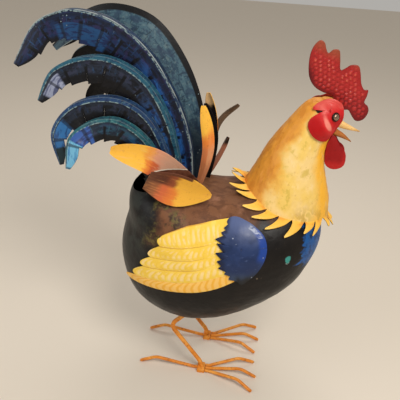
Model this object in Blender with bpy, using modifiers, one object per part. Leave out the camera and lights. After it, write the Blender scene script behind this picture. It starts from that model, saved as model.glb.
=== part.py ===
"""A standing rooster cut, folded and hammered from painted sheet metal, on legs of bent rod.

Metres, +Z up. The bird faces +X, its right side is -Y. The outlines are drawn with x and y
measured from the middle between the two ankles, and the last step moves the finished bird so
that the origin is the middle of its footprint box, at the floor.
"""

import math

import bmesh
import bpy
from mathutils import Matrix, Vector

# Sheet metal and fits
BODY_WALL = 0.0015
NECK_WALL = 0.0015
FEATHER_SHEET = 0.0016
LEAF_SHEET = 0.0014
WING_SHEET = 0.0015
PLATE_SHEET = 0.0020
COMB_SHEET = 0.0030
GAP = 0.0004
DRAPE = 0.0012

# Body shell, a lens whose outline in the middle plane is given by pairs of angle and radius
BODY_CENTRE_X = 0.020
BODY_CENTRE_Z = 0.365
BODY_HALF_WIDTH = 0.170
BODY_FULLNESS = 0.90
BODY_OUTLINE = (
    (0, 0.232), (30, 0.283), (60, 0.235), (90, 0.197), (116, 0.222), (132, 0.284),
    (143, 0.290), (156, 0.262), (180, 0.258), (210, 0.252), (240, 0.216), (270, 0.180),
    (300, 0.166), (330, 0.182),
)
BODY_COLUMNS = 32
BODY_ROWS = 12

# Opening in the upper rear of the body, where the tail is set in
OPENING_X = -0.152
OPENING_LENGTH = 0.116
OPENING_WIDTH = 0.160
OPENING_DEPTH = 0.120
OPENING_SIDES = 24
OPENING_AT = 132.0

# Neck and head cone, given by its back and front points in the middle plane and its half width
NECK_RINGS = (
    ((0.073, 0.583), (0.289, 0.500), 0.094),
    ((0.095, 0.629), (0.282, 0.563), 0.083),
    ((0.120, 0.685), (0.262, 0.635), 0.067),
    ((0.157, 0.742), (0.258, 0.694), 0.053),
    ((0.189, 0.787), (0.278, 0.743), 0.045),
    ((0.210, 0.802), (0.283, 0.773), 0.037),
    ((0.228, 0.805), (0.278, 0.789), 0.023),
)
# half width of the body that these rings sit on: the collar widens with the body, the crown doesn't
NECK_DRAWN_ON = 0.170
NECK_TEETH = 22
TOOTH_LIFT = 0.014
TOOTH_BELLY_LIFT = 0.0084
# from the middle of each claw's root to its tip, nape to throat on the right side
TOOTH_REACH = (
    (-0.035, 0.001, 0.020), (-0.047, 0.003, 0.004), (-0.045, 0.010, -0.007), (-0.047, -0.015, -0.005),
    (-0.051, -0.025, -0.006), (-0.048, -0.037, -0.016), (-0.032, -0.041, -0.027),
    (-0.015, -0.028, -0.021), (-0.017, -0.033, -0.032), (0.011, -0.017, -0.016),
    (0.016, -0.008, -0.018),
)
COLLAR_SAG = 0.20
COLLAR_SAG_AT = 72.0
COLLAR_SAG_SPREAD = 28.0
COLLAR_RISE = 0.24
COLLAR_RISE_AT = 150.0
COLLAR_RISE_SPREAD = 24.0
TOOTH_BELLY_PLACE = 0.55
TOOTH_BELLY_WIDTH = 0.80
CROWN_FORWARD = 0.004
CROWN_RISE = 0.008
HEAD_SLICE = 0.004

# Comb, a flat sheet on the crown with four lobes
COMB_OUTLINE = (
    (0.280, 0.782), (0.262, 0.794), (0.251, 0.814), (0.230, 0.819), (0.208, 0.832), (0.194, 0.856),
    (0.190, 0.893), (0.195, 0.920), (0.208, 0.936), (0.219, 0.931), (0.224, 0.918), (0.230, 0.909),
    (0.240, 0.918), (0.253, 0.917), (0.258, 0.896), (0.262, 0.874), (0.273, 0.879), (0.284, 0.887),
    (0.300, 0.886), (0.307, 0.870), (0.313, 0.846), (0.322, 0.832), (0.331, 0.832), (0.331, 0.819),
    (0.327, 0.803), (0.336, 0.795), (0.340, 0.781), (0.331, 0.763), (0.315, 0.758), (0.303, 0.770),
    (0.294, 0.782),
)
COMB_STEPS = 2

# Face plates, eyes, beak and wattles
EYE_X = 0.262
EYE_Z = 0.776
EYE_RADIUS = 0.0105
EYE_DOME = 0.0060
EYE_TOP = 0.55
EYE_SIDES = 10
FACE_X = 0.250
FACE_Z = 0.7924
FACE_OUTLINE = (
    (7, 0.0293), (37, 0.0231), (80, 0.0198), (132, 0.0209), (156, 0.0253), (170, 0.0330),
    (184, 0.0399), (187, 0.0382), (189, 0.0140), (198, 0.0165), (203, 0.0290), (208, 0.0461),
    (218, 0.0585), (232, 0.0658), (248, 0.0717), (263, 0.0760), (271, 0.0758), (278, 0.0660),
    (287, 0.0555), (301, 0.0479), (320, 0.0418), (344, 0.0338),
)
FACE_RIM_Y = 0.016
FACE_LIFT = 0.0030
FACE_RINGS = 3
EYE_SEAT = 0.0012
BEAK_UPPER = (
    (0.256, 0.757, 0.0125), (0.283, 0.7465, 0.0088), (0.303, 0.740, 0.0058), (0.3285, 0.7328, 0.0012),
)
BEAK_LOWER = (
    (0.250, 0.738, 0.0105), (0.272, 0.7265, 0.0086), (0.291, 0.7185, 0.0058), (0.3128, 0.7058, 0.0010),
)
WATTLE_OUTLINE = (
    (0.259, 0.722), (0.270, 0.7215), (0.277, 0.7155), (0.2817, 0.7065), (0.288, 0.697),
    (0.297, 0.690), (0.303, 0.680), (0.305, 0.667), (0.3035, 0.653), (0.2965, 0.6445),
    (0.2855, 0.6398), (0.273, 0.640), (0.2625, 0.646), (0.2565, 0.657), (0.2555, 0.675),
    (0.256, 0.695), (0.257, 0.711),
)
WATTLE_Y = 0.012
WATTLE_HINGE_Z = 0.728
WATTLE_SPLAY = 6.0

# Wings, one folded sheet on each flank, and the toothed shoulder plate over its front end
WING_TOP = ((0.062, 0.531), (0.044, 0.526), (-0.012, 0.513), (-0.064, 0.500), (-0.100, 0.484),
            (-0.113, 0.470))
WING_ENDS = ((-0.119, 0.464), (-0.141, 0.427), (-0.162, 0.393), (-0.183, 0.357), (-0.205, 0.330))
WING_NOTCHES = ((-0.113, 0.470), (-0.112, 0.452), (-0.136, 0.414), (-0.154, 0.382), (-0.176, 0.344),
                (-0.200, 0.320))
WING_BOTTOM = ((0.074, 0.387), (0.034, 0.362), (-0.010, 0.344), (-0.060, 0.333), (-0.120, 0.325),
               (-0.200, 0.320))
WING_BANDS = (0.0, 0.28, 0.46, 0.62, 0.83, 1.0)
WING_TIP_LIFT = 0.010
WING_COLUMNS = 6
WING_BULGE = 0.0035
WING_SWELL = 1.2
SHOULDER_X = 0.0843
SHOULDER_Z = 0.4726
# x, z of the shoulder plate's rim from its middle: ten claws on the rear edge, then the smooth front
SHOULDER_CLAWS = (
    (-0.0395, 0.0538), (-0.0413, 0.0502), (-0.0338, 0.0484), (-0.0468, 0.0380), (-0.0374, 0.0356),
    (-0.0523, 0.0286), (-0.0455, 0.0226), (-0.0649, 0.0137), (-0.0412, 0.0045), (-0.0603, 0.0045),
    (-0.0416, -0.0129), (-0.0609, -0.0166), (-0.0419, -0.0316), (-0.0556, -0.0352),
    (-0.0398, -0.0487), (-0.0509, -0.0515), (-0.0279, -0.0597), (-0.0351, -0.0650),
    (-0.0121, -0.0704), (-0.0237, -0.0782), (-0.0036, -0.0818),
)
SHOULDER_FRONT = (
    (0.0080, -0.0914), (0.0240, -0.0780), (0.0400, -0.0600), (0.0530, -0.0350), (0.0586, -0.0080),
    (0.0555, 0.0130), (0.0470, 0.0285), (0.0332, 0.0400), (0.0150, 0.0510), (-0.0083, 0.0587),
    (-0.0221, 0.0603), (-0.0337, 0.0579),
)
SHOULDER_LENGTH = 0.118
SHOULDER_HEIGHT = 0.146
SHOULDER_INNER = 0.45
SHOULDER_DOME = 0.006
SHOULDER_OVER_WING = 0.0048

# Sickle feathers, given by the ridge in side view from root to tip
SICKLE_RIDGES = {
    "crown": ((-0.040, 0.520), (-0.033, 0.640), (-0.045, 0.750), (-0.090, 0.860), (-0.165, 0.948),
              (-0.265, 0.974), (-0.350, 0.942), (-0.425, 0.860)),
    "top": ((-0.056, 0.520), (-0.065, 0.660), (-0.100, 0.770), (-0.165, 0.879), (-0.245, 0.945),
            (-0.325, 0.967), (-0.380, 0.959), (-0.432, 0.926), (-0.479, 0.840)),
    "upper": ((-0.072, 0.520), (-0.086, 0.620), (-0.115, 0.735), (-0.168, 0.826), (-0.240, 0.872),
              (-0.310, 0.875), (-0.378, 0.842), (-0.408, 0.775)),
    "middle": ((-0.088, 0.520), (-0.106, 0.627), (-0.148, 0.732), (-0.205, 0.783), (-0.271, 0.793),
               (-0.335, 0.768), (-0.370, 0.710), (-0.347, 0.643)),
    "lower": ((-0.104, 0.500), (-0.126, 0.632), (-0.160, 0.703), (-0.215, 0.749), (-0.270, 0.752),
              (-0.318, 0.718), (-0.319, 0.655)),
}
# kind: (root y, tip y, hanging width, lean at root, lean at tip, shelf width, slits)
SICKLE_FORMS = {
    "crown": (0.016, 0.056, 0.072, 26.0, 32.0, 0.066, 13),
    "top": (0.012, 0.055, 0.074, 5.0, 12.0, 0.018, 14),
    "upper": (0.038, 0.105, 0.064, 5.0, 12.0, 0.018, 12),
    "middle": (0.059, 0.155, 0.055, 5.0, 12.0, 0.018, 10),
    "lower": (0.076, 0.195, 0.050, 4.0, 12.0, 0.018, 9),
}
SICKLE_SPREAD = 1.4
# shares of the length and of the full width of a sickle
FULL_FROM = 0.35
FULL_TO = 0.62
TIP_FROM = 0.93
ROOT_WIDTH = 0.34
TIP_WIDTH = 0.64
POINT_WIDTH = 0.14
SHELF_ROOT = 0.30
SHELF_FULL_FROM = 0.45
SHELF_TAPER_FROM = 0.80
SHELF_TAPER = 0.75
CROWN_SHELF_ANGLE = 20.0
SHELF_ANGLE_ROOT = 108.0
SHELF_ANGLE_TIP = 80.0
SLIT_WIDTH = 0.0024
SLIT_DEPTH = 0.58
SAW_STEP = 0.0070
TIP_TAPER = 1.3
POINT_TAPER = 1.5

# Small cover feathers: root, middle, tip, direction across, width, fold
LEAVES = {
    "covert_rear": ((-0.035, -0.080, 0.556), (-0.130, -0.118, 0.652), (-0.2365, -0.126, 0.679),
                    (0.38, 0.06, 0.92), 0.070, 0.006, (0.50, 0.85, 0.5)),
    "covert_rear_left": ((-0.058, 0.094, 0.520), (-0.145, 0.123, 0.656), (-0.2345, 0.126, 0.680),
                         (0.38, -0.06, 0.92), 0.070, -0.006, (0.55, 0.42, 0.5)),
    "covert_flank": ((-0.147, -0.142, 0.620), (-0.070, -0.128, 0.591), (-0.001, -0.100, 0.573),
                     (0.05, -0.34, 0.94), 0.107, -0.008, (0.42, 0.60, 0.8)),
    "covert_upright": ((-0.046, -0.030, 0.540), (-0.0205, -0.038, 0.665), (-0.0365, -0.048, 0.778),
                       (1.00, 0.10, 0.10), 0.029, -0.004, (0.72, 0.30, 0.5)),
    "covert_dark": ((-0.032, 0.024, 0.530), (-0.018, 0.024, 0.672), (-0.040, 0.027, 0.758),
                    (0.95, -0.10, 0.05), 0.030, 0.003, (0.55, 0.42, 0.5)),
    "covert_far_high": ((-0.030, 0.090, 0.500), (-0.014, 0.088, 0.675), (0.037, 0.100, 0.737),
                        (0.32, 0.75, -0.58), 0.032, 0.004, (0.70, 0.35, 0.4)),
    "covert_far_low": ((-0.043, 0.064, 0.520), (-0.003, 0.080, 0.598), (0.017, 0.100, 0.647),
                       (0.32, 0.75, -0.58), 0.030, 0.004, (0.70, 0.30, 0.4)),
}
MIRRORED_LEAVES = ("covert_upright",)
LEAF_STATIONS = 6

# Legs and feet
FOOT_SPACING = 0.140
LEG_RADIUS = 0.0060
TOE_RADIUS = 0.0045
HIP = (-0.028, 0.214)
KNEE = (-0.093, 0.148)
KNEE_BEND = 0.024
PAD_LENGTH = 0.022
PAD_WIDTH = 0.034
PAD_HEIGHT = 0.012
ANKLE_RISE = 0.012
KNUCKLE_Z = 0.025
KNUCKLE_ROUND = 0.28
TOE_SPREAD = 0.0108
TOE_STRAIGHT = 0.010
TOE_BEND = 0.012
TOE_TIP_Z = 0.0042
# toe: (root offset across, knuckle x, knuckle y, tip x, tip y), outward is positive y
TOES = {
    "inner": (-1, 0.104, -0.036, 0.148, -0.050),
    "middle": (0, 0.112, 0.006, 0.156, 0.009),
    "outer": (1, 0.106, 0.048, 0.147, 0.066),
    "back": (0, -0.130, 0.001, -0.176, 0.002),
}

PAINT = {
    "body": ((0.030, 0.026, 0.024), 0.35, 0.3),
    "yellow": ((0.80, 0.48, 0.09), 0.40, 0.2),
    "red": ((0.45, 0.03, 0.03), 0.30, 0.2),
    "navy": ((0.02, 0.04, 0.12), 0.35, 0.3),
    "blue": ((0.01, 0.09, 0.22), 0.35, 0.3),
    "amber": ((0.75, 0.30, 0.08), 0.40, 0.2),
    "umber": ((0.09, 0.05, 0.03), 0.50, 0.2),
    "brass": ((0.45, 0.28, 0.10), 0.30, 0.8),
    "cream": ((0.80, 0.62, 0.28), 0.40, 0.1),
    "orange": ((0.72, 0.30, 0.10), 0.45, 0.1),
}


def clear_scene():
    for thing in list(bpy.data.objects):
        bpy.data.objects.remove(thing, do_unlink=True)


def new_collection(name):
    group = bpy.data.collections.new(name)
    bpy.context.scene.collection.children.link(group)
    return group


def paint(name):
    """The painted finish of that name, made once."""
    if name in bpy.data.materials:
        return bpy.data.materials[name]
    colour, roughness, metallic = PAINT[name]
    material = bpy.data.materials.new(name)
    material.use_nodes = True
    shader = material.node_tree.nodes["Principled BSDF"]
    shader.inputs["Base Color"].default_value = (*colour, 1.0)
    shader.inputs["Roughness"].default_value = roughness
    shader.inputs["Metallic"].default_value = metallic
    material.diffuse_color = (*colour, 1.0)
    return material


def add_mesh(name, vertices, faces, finish, group):
    mesh = bpy.data.meshes.new(name)
    mesh.from_pydata([tuple(v) for v in vertices], [], faces)
    mesh.update()
    thing = bpy.data.objects.new(name, mesh)
    thing.data.materials.append(paint(finish))
    group.objects.link(thing)
    return thing


def face_outward(thing):
    mesh = bmesh.new()
    mesh.from_mesh(thing.data)
    bmesh.ops.recalc_face_normals(mesh, faces=mesh.faces)
    mesh.to_mesh(thing.data)
    mesh.free()


def thicken(thing, thickness, offset):
    """Give an open sheet its metal thickness. Offset -1 grows it against its normals."""
    wall = thing.modifiers.new("Wall", "SOLIDIFY")
    wall.thickness = thickness
    wall.offset = offset
    wall.use_even_offset = True
    return wall


def cut(thing, cutter):
    knife = thing.modifiers.new("Cut " + cutter.name, "BOOLEAN")
    knife.operation = "DIFFERENCE"
    knife.solver = "EXACT"
    knife.object = cutter


def make_cutter(thing):
    thing.hide_render = True
    thing.display_type = "WIRE"


def smooth_path(points, count, closed=False):
    """Points evenly spread along a smooth curve through the given points."""
    nodes = [Vector(p) for p in points]
    spans = len(nodes) if closed else len(nodes) - 1
    dense = []
    fine = 12
    for span in range(spans):
        if closed:
            a, b, c, d = (nodes[(span + k - 1) % len(nodes)] for k in range(4))
        else:
            a, b = nodes[max(span - 1, 0)], nodes[span]
            c, d = nodes[span + 1], nodes[min(span + 2, len(nodes) - 1)]
        for step in range(fine):
            t = step / fine
            dense.append(
                0.5 * (2 * b + (c - a) * t + (2 * a - 5 * b + 4 * c - d) * t * t
                       + (3 * b - a - 3 * c + d) * t ** 3)
            )
    dense.append(dense[0] if closed else nodes[-1])
    lengths = [0.0]
    for before, after in zip(dense, dense[1:]):
        lengths.append(lengths[-1] + (after - before).length)
    pieces = count if closed else count - 1
    spread = []
    k = 0
    for n in range(count):
        want = lengths[-1] * n / pieces
        while k < len(dense) - 2 and lengths[k + 1] < want:
            k += 1
        share = (want - lengths[k]) / max(lengths[k + 1] - lengths[k], 1e-9)
        spread.append(dense[k].lerp(dense[k + 1], min(max(share, 0.0), 1.0)))
    return spread


def polar_radius(outline, angle):
    """Radius at an angle in degrees, read smoothly from (angle, radius) pairs round a circle."""
    angle %= 360.0
    count = len(outline)
    for k in range(count):
        start = outline[k][0]
        end = outline[(k + 1) % count][0]
        if end <= start:
            end += 360.0
        if start <= angle < end or (angle < outline[0][0] and k == count - 1):
            if angle < start:
                angle += 360.0
            t = (angle - start) / (end - start)
            a, b, c, d = (outline[(k + j - 1) % count][1] for j in range(4))
            return 0.5 * (2 * b + (c - a) * t + (2 * a - 5 * b + 4 * c - d) * t * t
                          + (3 * b - a - 3 * c + d) * t ** 3)
    return outline[0][1]


def body_point(angle, tilt, grow=0.0):
    """A point of the body skin: angle round the middle plane, tilt from it towards a flank."""
    reach = (polar_radius(BODY_OUTLINE, angle) + grow) * abs(math.cos(tilt)) ** BODY_FULLNESS
    side = math.copysign(abs(math.sin(tilt)) ** BODY_FULLNESS, tilt)
    return Vector((
        BODY_CENTRE_X + reach * math.cos(math.radians(angle)),
        side * (BODY_HALF_WIDTH + grow),
        BODY_CENTRE_Z + reach * math.sin(math.radians(angle)),
    ))


def flank_y(x, z):
    """How far the body skin stands out from the middle plane at x, z."""
    dx = x - BODY_CENTRE_X
    dz = z - BODY_CENTRE_Z
    share = math.hypot(dx, dz) / polar_radius(BODY_OUTLINE, math.degrees(math.atan2(dz, dx)))
    cosine = min(share, 1.0) ** (1.0 / BODY_FULLNESS)
    return BODY_HALF_WIDTH * (1.0 - cosine * cosine) ** (BODY_FULLNESS / 2.0)


def lift_off_body(point, lift):
    """The point moved out from the body centre until it stands at least that far off the skin."""
    dx = point.x - BODY_CENTRE_X
    dz = point.z - BODY_CENTRE_Z
    reach = polar_radius(BODY_OUTLINE, math.degrees(math.atan2(dz, dx)))
    power = 2.0 / BODY_FULLNESS
    depth = (math.hypot(dx, dz) / reach) ** power + (abs(point.y) / BODY_HALF_WIDTH) ** power
    depth **= 1.0 / power
    centre = Vector((BODY_CENTRE_X, 0.0, BODY_CENTRE_Z))
    arm = point - centre
    wanted = arm.length / depth + lift
    if arm.length >= wanted:
        return point
    return centre + arm * (wanted / arm.length)


def body_skin(name, grow, finish, group):
    """The closed lens of the body, with a pole in each flank."""
    vertices = [body_point(0.0, -math.pi / 2, grow)]
    for row in range(1, BODY_ROWS):
        tilt = -math.pi / 2 + math.pi * row / BODY_ROWS
        for column in range(BODY_COLUMNS):
            vertices.append(body_point(360.0 * column / BODY_COLUMNS, tilt, grow))
    vertices.append(body_point(0.0, math.pi / 2, grow))
    last = len(vertices) - 1
    faces = []
    for column in range(BODY_COLUMNS):
        after = (column + 1) % BODY_COLUMNS
        faces.append((0, 1 + after, 1 + column))
        base = 1 + (BODY_ROWS - 2) * BODY_COLUMNS
        faces.append((last, base + column, base + after))
        for row in range(BODY_ROWS - 2):
            low = 1 + row * BODY_COLUMNS
            high = low + BODY_COLUMNS
            faces.append((low + column, low + after, high + after, high + column))
    thing = add_mesh(name, vertices, faces, finish, group)
    face_outward(thing)
    return thing


def opening_cutter(group):
    """An upright oval plug through the top of the body's rear."""
    bpy.ops.mesh.primitive_cylinder_add(vertices=OPENING_SIDES, radius=0.5, depth=1.0)
    plug = bpy.context.object
    plug.name = "opening_cutter"
    plug.data.name = "opening_cutter"
    plug.data.transform(stretch(OPENING_LENGTH, OPENING_WIDTH, 2 * OPENING_DEPTH))
    plug.location = (OPENING_X, 0.0, body_point(OPENING_AT, 0.0).z)
    move_to(plug, group)
    make_cutter(plug)
    return plug


def stretch(x, y, z):
    return Matrix.Diagonal((x, y, z, 1.0))


def move_to(thing, group):
    for owner in list(thing.users_collection):
        owner.objects.unlink(thing)
    group.objects.link(thing)


def neck_ring(station, grow=0.0):
    """Centre, half axis in the middle plane and half width of the neck at a station."""
    (back_x, back_z), (front_x, front_z), half = NECK_RINGS[station]
    below = 1.0 - station / (len(NECK_RINGS) - 1)
    half *= 1.0 + (BODY_HALF_WIDTH / NECK_DRAWN_ON - 1.0) * below
    back = Vector((back_x, 0.0, back_z))
    front = Vector((front_x, 0.0, front_z))
    axis = (front - back) / 2
    return (back + front) / 2, axis * (1.0 + grow / axis.length), half + grow


def neck_point(station, angle, grow=0.0):
    """Angle 0 is the nape, 90 the bird's right cheek, 180 the throat."""
    centre, axis, half = neck_ring(station, grow)
    turn = math.radians(angle)
    return centre - axis * math.cos(turn) - Vector((0.0, half * math.sin(turn), 0.0))


def crown_point(grow=0.0):
    centre, axis, half = neck_ring(len(NECK_RINGS) - 1)
    return centre + Vector((CROWN_FORWARD, 0.0, CROWN_RISE + grow))


def collar_point(angle):
    """A point of the neck's lower rim, which sags at the sides and rises at the throat."""
    low, high = neck_point(0, angle), neck_point(1, angle)
    folded = min(angle, 360.0 - angle)
    sag = COLLAR_SAG * math.exp(-((folded - COLLAR_SAG_AT) / COLLAR_SAG_SPREAD) ** 2)
    sag -= COLLAR_RISE * math.exp(-((folded - COLLAR_RISE_AT) / COLLAR_RISE_SPREAD) ** 2)
    return lift_off_body(low + (low - high) * sag, DRAPE + NECK_WALL)


def tooth_reach(tooth):
    """From the middle of a claw's root to its tip, the left side mirrored from the right."""
    if tooth < len(TOOTH_REACH):
        return Vector(TOOTH_REACH[tooth])
    x, y, z = TOOTH_REACH[NECK_TEETH - 1 - tooth]
    return Vector((x, -y, z))


def make_neck(group):
    """The hollow neck and head, closed at the crown, with its lower edge cut into claws."""
    columns = 2 * NECK_TEETH
    vertices = []
    for station in range(len(NECK_RINGS)):
        for column in range(columns):
            angle = 360.0 * column / columns
            vertices.append(neck_point(station, angle) if station else collar_point(angle))
    faces = []
    for station in range(len(NECK_RINGS) - 1):
        low = station * columns
        high = low + columns
        for column in range(columns):
            after = (column + 1) % columns
            faces.append((low + column, low + after, high + after, high + column))
    top = len(vertices)
    vertices.append(crown_point())
    high = (len(NECK_RINGS) - 1) * columns
    for column in range(columns):
        faces.append((high + column, high + (column + 1) % columns, top))
    for tooth in range(NECK_TEETH):
        left = 2 * tooth
        middle = left + 1
        right = (left + 2) % columns
        start = vertices[middle]
        tip = lift_off_body(start + tooth_reach(tooth), TOOTH_LIFT)
        half = (vertices[right] - vertices[left]) * 0.5
        belly = start + (tip - start) * TOOTH_BELLY_PLACE
        shoulder_a = lift_off_body(belly - half * TOOTH_BELLY_WIDTH, TOOTH_BELLY_LIFT)
        shoulder_b = lift_off_body(belly + half * TOOTH_BELLY_WIDTH, TOOTH_BELLY_LIFT)
        first = len(vertices)
        vertices.extend((shoulder_a, shoulder_b, tip))
        faces.append((left, first, middle))
        faces.append((middle, first, first + 1))
        faces.append((middle, first + 1, right))
        faces.append((first, first + 2, first + 1))
    neck = add_mesh("neck_hackle", vertices, faces, "yellow", group)
    face_outward(neck)
    thicken(neck, NECK_WALL, -1.0)
    return neck


def make_head_core(group):
    """The head and neck as one block, a gap larger all round, that trims what stands on them."""
    columns = 2 * NECK_TEETH
    stations = range(1, len(NECK_RINGS))
    vertices = []
    for station in stations:
        for column in range(columns):
            vertices.append(neck_point(station, 360.0 * column / columns, GAP))
    faces = [tuple(range(columns))]
    for row in range(len(NECK_RINGS) - 2):
        low = row * columns
        high = low + columns
        for column in range(columns):
            after = (column + 1) % columns
            faces.append((low + column, low + after, high + after, high + column))
    top = len(vertices)
    vertices.append(crown_point(GAP))
    high = (len(NECK_RINGS) - 2) * columns
    for column in range(columns):
        faces.append((high + column, high + (column + 1) % columns, top))
    core = add_mesh("head_core", vertices, faces, "yellow", group)
    face_outward(core)
    make_cutter(core)
    return core


def flat_plate(name, outline, steps, thickness, finish, group):
    """An upright plate in the middle plane, cut to a smooth closed outline of x, z points."""
    points = smooth_path([(x, z, 0.0) for x, z in outline], steps * len(outline), closed=True)
    curve = bpy.data.curves.new(name, "CURVE")
    curve.dimensions = "2D"
    curve.fill_mode = "BOTH"
    curve.extrude = thickness / 2
    line = curve.splines.new("POLY")
    line.points.add(len(points) - 1)
    for knot, point in zip(line.points, points):
        knot.co = (point.x, point.y, 0.0, 1.0)
    line.use_cyclic_u = True
    drawn = bpy.data.objects.new(name + "_curve", curve)
    group.objects.link(drawn)
    drawn.rotation_euler = (math.pi / 2, 0.0, 0.0)
    return curve_to_mesh(drawn, name, finish, group)


def curve_to_mesh(drawn, name, finish, group):
    """Replace a curve object by a welded mesh object in the same place."""
    bpy.context.view_layer.update()
    evaluated = drawn.evaluated_get(bpy.context.evaluated_depsgraph_get())
    mesh = bpy.data.meshes.new_from_object(evaluated)
    work = bmesh.new()
    work.from_mesh(mesh)
    bmesh.ops.remove_doubles(work, verts=work.verts, dist=0.00001)
    bmesh.ops.recalc_face_normals(work, faces=work.faces)
    work.to_mesh(mesh)
    work.free()
    mesh.name = name
    mesh.transform(drawn.matrix_world)
    thing = bpy.data.objects.new(name, mesh)
    mesh.materials.clear()
    mesh.materials.append(paint(finish))
    group.objects.link(thing)
    bpy.data.objects.remove(drawn, do_unlink=True)
    return thing


def rod(name, points, radii, finish, group):
    """A round rod or horn along the points, with closed ends."""
    curve = bpy.data.curves.new(name, "CURVE")
    curve.dimensions = "3D"
    curve.bevel_depth = 1.0
    curve.bevel_resolution = 2
    curve.use_fill_caps = True
    line = curve.splines.new("POLY")
    line.points.add(len(points) - 1)
    for knot, point, radius in zip(line.points, points, radii):
        knot.co = (*point, 1.0)
        knot.radius = radius
    drawn = bpy.data.objects.new(name + "_curve", curve)
    group.objects.link(drawn)
    return curve_to_mesh(drawn, name, finish, group)


def make_comb(core, group):
    comb = flat_plate("comb", COMB_OUTLINE, COMB_STEPS, COMB_SHEET, "red", group)
    cut(comb, core)


def head_half_width(x, z):
    """Half width of the head and neck at x, z, zero outside its outline."""
    widest = 0.0
    steps = 12
    for station in range(1, len(NECK_RINGS) - 1):
        low_c, low_a, low_w = neck_ring(station)
        high_c, high_a, high_w = neck_ring(station + 1)
        for step in range(steps):
            t = step / steps
            centre = low_c.lerp(high_c, t)
            axis = low_a.lerp(high_a, t)
            offset = Vector((x, 0.0, z)) - centre
            normal = Vector((-axis.z, 0.0, axis.x)).normalized()
            if abs(offset.dot(normal)) > HEAD_SLICE:
                continue
            share = offset.dot(axis.normalized()) / axis.length
            if abs(share) < 1.0:
                half = low_w + (high_w - low_w) * t
                widest = max(widest, half * math.sqrt(1.0 - share * share))
    return widest


def on_cheek(side, x, z):
    return Vector((x, side * (max(head_half_width(x, z), FACE_RIM_Y) + FACE_LIFT), z))


def make_face(side, suffix, core, group):
    """A thin plate bent round the cheek, a dome rivet for the eye and a hanging wattle."""
    spokes = len(FACE_OUTLINE)
    vertices = [on_cheek(side, FACE_X, FACE_Z)]
    for ring in range(1, FACE_RINGS + 1):
        for angle, radius in FACE_OUTLINE:
            reach = radius * ring / FACE_RINGS
            x = FACE_X + reach * math.cos(math.radians(angle))
            z = FACE_Z + reach * math.sin(math.radians(angle))
            vertices.append(on_cheek(side, x, z))
    faces = []
    for spoke in range(spokes):
        after = (spoke + 1) % spokes
        faces.append((0, 1 + spoke, 1 + after))
        for ring in range(FACE_RINGS - 1):
            low = 1 + ring * spokes
            high = low + spokes
            faces.append((low + spoke, high + spoke, high + after, low + after))
    plate = add_mesh("face_plate_" + suffix, vertices, faces, "red", group)
    face_outward_from_middle(plate, side)
    thicken(plate, PLATE_SHEET, 1.0)

    bpy.ops.mesh.primitive_cone_add(
        vertices=EYE_SIDES, radius1=EYE_RADIUS, radius2=EYE_RADIUS * EYE_TOP, depth=EYE_DOME
    )
    eye = bpy.context.object
    eye.name = "eye_" + suffix
    slope_x = head_half_width(EYE_X + EYE_RADIUS, EYE_Z) - head_half_width(EYE_X - EYE_RADIUS, EYE_Z)
    slope_z = head_half_width(EYE_X, EYE_Z + EYE_RADIUS) - head_half_width(EYE_X, EYE_Z - EYE_RADIUS)
    outward = Vector((-slope_x, side * 2 * EYE_RADIUS, -slope_z)).normalized()
    eye.rotation_euler = outward.to_track_quat("Z", "Y").to_euler()
    seat = on_cheek(side, EYE_X, EYE_Z)
    eye.location = seat + outward * (PLATE_SHEET + EYE_SEAT + EYE_DOME / 2)
    eye.data.materials.append(paint("brass"))
    move_to(eye, group)

    wattle = flat_plate("wattle_" + suffix, WATTLE_OUTLINE, 1, PLATE_SHEET, "red", group)
    hinge = Vector((0.0, 0.0, WATTLE_HINGE_Z))
    for vertex in wattle.data.vertices:
        low = vertex.co - hinge
        splay = math.radians(side * WATTLE_SPLAY)
        turned = Vector((
            low.x,
            low.y * math.cos(splay) - low.z * math.sin(splay),
            low.y * math.sin(splay) + low.z * math.cos(splay),
        ))
        vertex.co = turned + hinge + Vector((0.0, side * WATTLE_Y, 0.0))
    cut(wattle, core)


def face_outward_from_middle(thing, side):
    """Turn an open sheet so that its faces look away from the middle plane."""
    mesh = bmesh.new()
    mesh.from_mesh(thing.data)
    bmesh.ops.recalc_face_normals(mesh, faces=mesh.faces)
    total = sum(face.normal.y * face.calc_area() for face in mesh.faces)
    if total * side < 0:
        bmesh.ops.reverse_faces(mesh, faces=mesh.faces)
    mesh.to_mesh(thing.data)
    mesh.free()


def make_beak(core, group):
    for name, stations, finish in (
        ("beak_upper", BEAK_UPPER, "cream"),
        ("beak_lower", BEAK_LOWER, "amber"),
    ):
        points = [(x, 0.0, z) for x, z, radius in stations]
        radii = [radius for x, z, radius in stations]
        horn = rod(name, points, radii, finish, group)
        cut(horn, core)


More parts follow.
